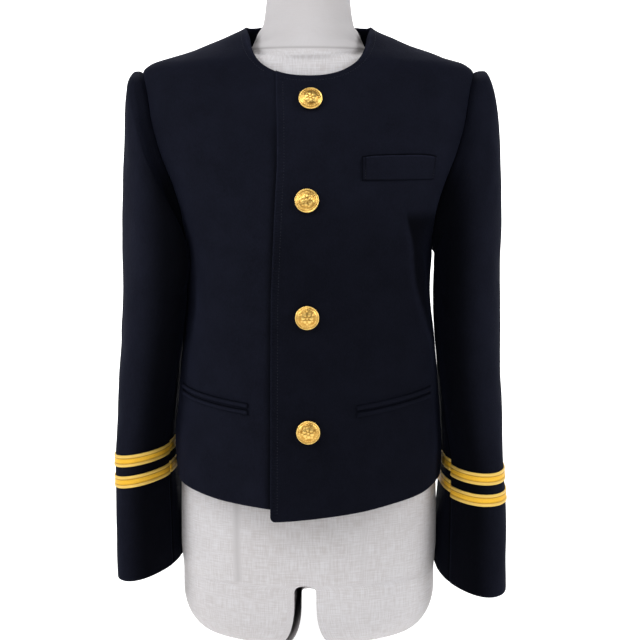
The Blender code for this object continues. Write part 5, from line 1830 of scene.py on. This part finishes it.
class JACKET_OT_buttons(bpy.types.Operator):
    """Make the four domed buttons with a plain rosette"""

    bl_idname = "jacket.make_buttons"
    bl_label = "Buttons"

    def profile(self):
        """Half section of a button, from the middle of its back to the top of its dome."""
        outside = np.array(BUTTON_BACK) * np.array([BUTTON_RADIUS, 1.0])
        run = Rows(outside[:, None, :])
        outside = run.read(spread(run.at[-1], (), (), 0.00045))[:, 0]
        edge = BUTTON_DOME_SHARE * BUTTON_RADIUS
        radius = edge * np.linspace(1, 0, BUTTON_DOME_RINGS + 1)[1:]
        rise = BUTTON_DOME_TOP - outside[-1][1]
        height = BUTTON_DOME_TOP - rise * (radius / edge) ** BUTTON_DOME_POWER
        return np.concatenate([outside, np.stack([radius, height], axis=1)])

    def relief(self, share, angle):
        """Height of the rosette, 0 to 1, by share of the radius and angle."""
        petals = np.abs(np.cos(3 * angle)) ** 0.8
        petal = petals * bell(share - 0.34, 0.17) * (share > 0.12)
        vein = 1 - 0.55 * bell(np.sin(3 * angle + math.pi / 2), 0.16) * (petals > 0.75)
        leaves = np.abs(np.sin(3 * angle)) ** 5 * bell(share - 0.50, 0.11)
        bead = np.clip(1 - (share / 0.12) ** 2, 0, 1) ** 0.5
        ring = np.abs(np.cos(13 * angle)) ** 0.7 * bell(share - 0.745, 0.034)
        line = 0.6 * bell(share - 0.655, 0.016)
        return np.max([petal * vein, 0.8 * leaves, 0.9 * bead, ring, line], axis=0)

    def execute(self, context):
        brass = shared("button_brass", brass_material)
        outline = self.profile()
        for number, (x, z) in enumerate(BUTTON_PLACES, 1):
            bm = bmesh.new()
            line = [bm.verts.new((radius, 0.0, height)) for radius, height in outline]
            edges = [bm.edges.new(pair) for pair in zip(line, line[1:])]
            bmesh.ops.spin(
                bm, geom=line + edges, cent=(0, 0, 0), axis=(0, 0, 1),
                angle=2 * math.pi, steps=BUTTON_STEPS, use_merge=True,
            )
            bmesh.ops.remove_doubles(bm, verts=bm.verts, dist=0.00001)
            bmesh.ops.recalc_face_normals(bm, faces=bm.faces)
            raised = bm.verts.layers.float.new("raised")
            spin = BUTTON_TURN * number
            for vert in bm.verts:
                share = math.hypot(vert.co.x, vert.co.y) / BUTTON_RADIUS
                on_dome = vert.co.z > BUTTON_GROOVE_Z and share < BUTTON_DOME_SHARE
                turn = math.atan2(vert.co.y, vert.co.x) + spin
                rise = float(self.relief(share, turn)) if on_dome else 0.0
                rim = float(smooth_step((share - BUTTON_RIM_SHARE) / BUTTON_RIM_FADE))
                vert[raised] = max(rise, rim, BUTTON_DOME_LIGHT * share if on_dome else 0.0)
                vert.co.z += sizes().button_relief * rise
            place = FRONT.length_at_x(x, z)
            points, normals = on_front(1, place[None], np.array([z]), BUTTON_LIFT)
            out = Vector(normals[0])
            facing = out.to_track_quat("Z", "Y").to_matrix().to_4x4()
            seat = Matrix.Translation(Vector(points[0])) @ facing
            bmesh.ops.transform(bm, matrix=seat, verts=bm.verts)
            made = add_mesh(f"button_{number}_brass", bm, brass)
            own(made, "gilt_brass", f"button_{number}")
        return {"FINISHED"}


class JACKET_OT_stitches(bpy.types.Operator):
    """Make the pick stitches along the front edge and the neck, and those of the welt"""

    bl_idname = "jacket.make_stitches"
    bl_label = "Stitches"

    def row(self, bm, side, line, pitch, lift):
        """Stitches at even spaces along a line of pattern places on a front."""
        path, normals = on_front(side, line[:, 0], line[:, 1], lift)
        run = np.concatenate([[0], np.cumsum(np.linalg.norm(np.diff(path, axis=0), axis=1))])
        size = Matrix.Diagonal((*STITCH_SIZE, 1.0))
        for at in np.arange(pitch / 2, run[-1], pitch):
            point, ahead, out = (
                np.array([np.interp(at + step, run, values[:, k]) for k in range(3)])
                for step, values in ((0, path), (pitch / 3, path), (0, normals))
            )
            along = unit(ahead - point)
            across = unit(np.cross(out, along))
            turned = np.stack([along, across, np.cross(along, across)], axis=1)
            if side < 0:
                turned = turned * np.array([[-1.0], [1.0], [1.0]]) * np.array([1.0, -1.0, 1.0])
                point = mirrored(point)
            matrix = Matrix.Translation(point) @ Matrix(turned.tolist()).to_4x4() @ size
            bmesh.ops.create_uvsphere(bm, u_segments=6, v_segments=4, radius=1.0, matrix=matrix)

    def execute(self, context):
        thread = shared("sewing_thread", thread_material)
        bm = bmesh.new()
        z = np.linspace(HEM_TOP_FRONT[0] + 0.009, NECK_FRONT_Z - 0.006, 200)
        edge = front_start(1)(z) + PICK_INSET
        self.row(bm, 1, np.stack([edge, z], axis=1), PICK_PITCH, -PICK_SINK)
        for side in (1, -1):
            edge_x = float(EDGE.read(NECK_FRONT_Z)["x"]) if side > 0 else NECK_STITCH_START_X
            neck = front_neckline(edge_x, np.linspace(0, 1, 120))
            step = unit(np.gradient(neck, axis=0))
            inside = neck + NECK_STITCH_INSET * np.stack([step[:, 1], -step[:, 0]], axis=1)
            inside = inside[(inside[:, 0] > front_start(1)(inside[:, 1]) + PICK_INSET) | (side < 0)]
            self.row(bm, side, inside[:-8], PICK_PITCH, 0.00002)
        for inset in (WELT_STITCH_INSET, WELT_LENGTH - WELT_STITCH_INSET):
            s = WELT_INNER_S + inset
            foot = WELT_BOTTOM_Z + WELT_TILT * inset
            z = np.linspace(foot + 0.0015, foot + WELT_HEIGHT - 0.001, 30)
            line = np.stack([np.full(len(z), s), z], axis=1)
            self.row(bm, 1, line, WELT_STITCH_PITCH, LIFT + CLOTH + 0.0001)
        stitches = add_mesh("dark_stitches", bm, thread)
        own(stitches, "navy_wool")
        return {"FINISHED"}


class JACKET_OT_stage(bpy.types.Operator):
    """Make the pale floor, the soft lights and the camera"""

    bl_idname = "jacket.make_stage"
    bl_label = "Stage"

    def light(self, name, place, aim, size, power, colour):
        lamp = bpy.data.lights.new(name, "AREA")
        lamp.shape = "RECTANGLE"
        lamp.size, lamp.size_y = size
        lamp.energy = power
        lamp.color = colour
        made = bpy.data.objects.new(name, lamp)
        made.location = place
        made.rotation_euler = (Vector(aim) - Vector(place)).to_track_quat("-Z", "Y").to_euler()
        bpy.context.scene.collection.objects.link(made)

    def execute(self, context):
        scene = context.scene
        bm = bmesh.new()
        bmesh.ops.create_grid(bm, x_segments=2, y_segments=2, size=6.0)
        edge = [e for e in bm.edges if all(abs(v.co.y - 6.0) < 0.01 for v in e.verts)]
        bmesh.ops.translate(bm, verts=[v for v in bm.verts if abs(v.co.y) < 0.01], vec=(0, 2.5, 0))
        made = bmesh.ops.extrude_edge_only(bm, edges=edge)
        wall = [v for v in made["geom"] if isinstance(v, bmesh.types.BMVert)]
        bmesh.ops.translate(bm, verts=wall, vec=(0, 0.5, 5.0))
        bmesh.ops.bevel(
            bm, geom=edge, offset=2.2, segments=16, profile=0.5, affect="EDGES", material=-1,
        )
        floor = add_mesh("floor", bm, shared("studio_floor", floor_material))
        world = bpy.data.worlds.new("soft_white")
        world.use_nodes = True
        world.node_tree.nodes["Background"].inputs["Color"].default_value = (1.0, 1.0, 1.0, 1.0)
        world.node_tree.nodes["Background"].inputs["Strength"].default_value = 0.05
        scene.world = world
        for row in LIGHTS:
            self.light(*row)
        lens = bpy.data.cameras.new("camera")
        lens.lens = CAMERA_LENS
        lens.sensor_width = 36.0
        camera = bpy.data.objects.new("camera", lens)
        camera.location = CAMERA_AT
        aim = Vector(CAMERA_AIM) - Vector(CAMERA_AT)
        camera.rotation_euler = aim.to_track_quat("-Z", "Y").to_euler()
        scene.collection.objects.link(camera)
        scene.camera = camera
        scene.view_settings.view_transform = "Standard"
        return {"FINISHED"}


class JACKET_PT_panel(bpy.types.Panel):
    """The jacket's sizes, colours and pieces"""

    bl_idname = "JACKET_PT_panel"
    bl_label = "Collarless jacket"
    bl_space_type = "VIEW_3D"
    bl_region_type = "UI"
    bl_category = "Jacket"

    def draw(self, context):
        for group in (context.scene.jacket_sizes, context.scene.jacket_colours):
            box = self.layout.box()
            for name in group.bl_rna.properties.keys():
                if name not in ("rna_type", "name"):
                    box.prop(group, name)
        for maker in MAKERS:
            self.layout.operator(maker.bl_idname)


MAKERS = (
    JACKET_OT_stage,
    JACKET_OT_form,
    JACKET_OT_fronts,
    JACKET_OT_back,
    JACKET_OT_sleeves,
    JACKET_OT_pockets,
    JACKET_OT_buttons,
    JACKET_OT_stitches,
)
CLASSES = (JacketSizes, JacketColours, *MAKERS, JACKET_PT_panel)


def register():
    for item in CLASSES:
        bpy.utils.register_class(item)
    bpy.types.Scene.jacket_sizes = bpy.props.PointerProperty(type=JacketSizes)
    bpy.types.Scene.jacket_colours = bpy.props.PointerProperty(type=JacketColours)


def unregister():
    del bpy.types.Scene.jacket_colours
    del bpy.types.Scene.jacket_sizes
    for item in reversed(CLASSES):
        bpy.utils.unregister_class(item)


def main():
    register()
    bpy.ops.jacket.make_stage()
    bpy.ops.jacket.make_form()
    bpy.ops.jacket.make_fronts()
    bpy.ops.jacket.make_back()
    bpy.ops.jacket.make_sleeves()
    bpy.ops.jacket.make_pockets()
    bpy.ops.jacket.make_buttons()
    bpy.ops.jacket.make_stitches()


if __name__ == "__main__":
    main()
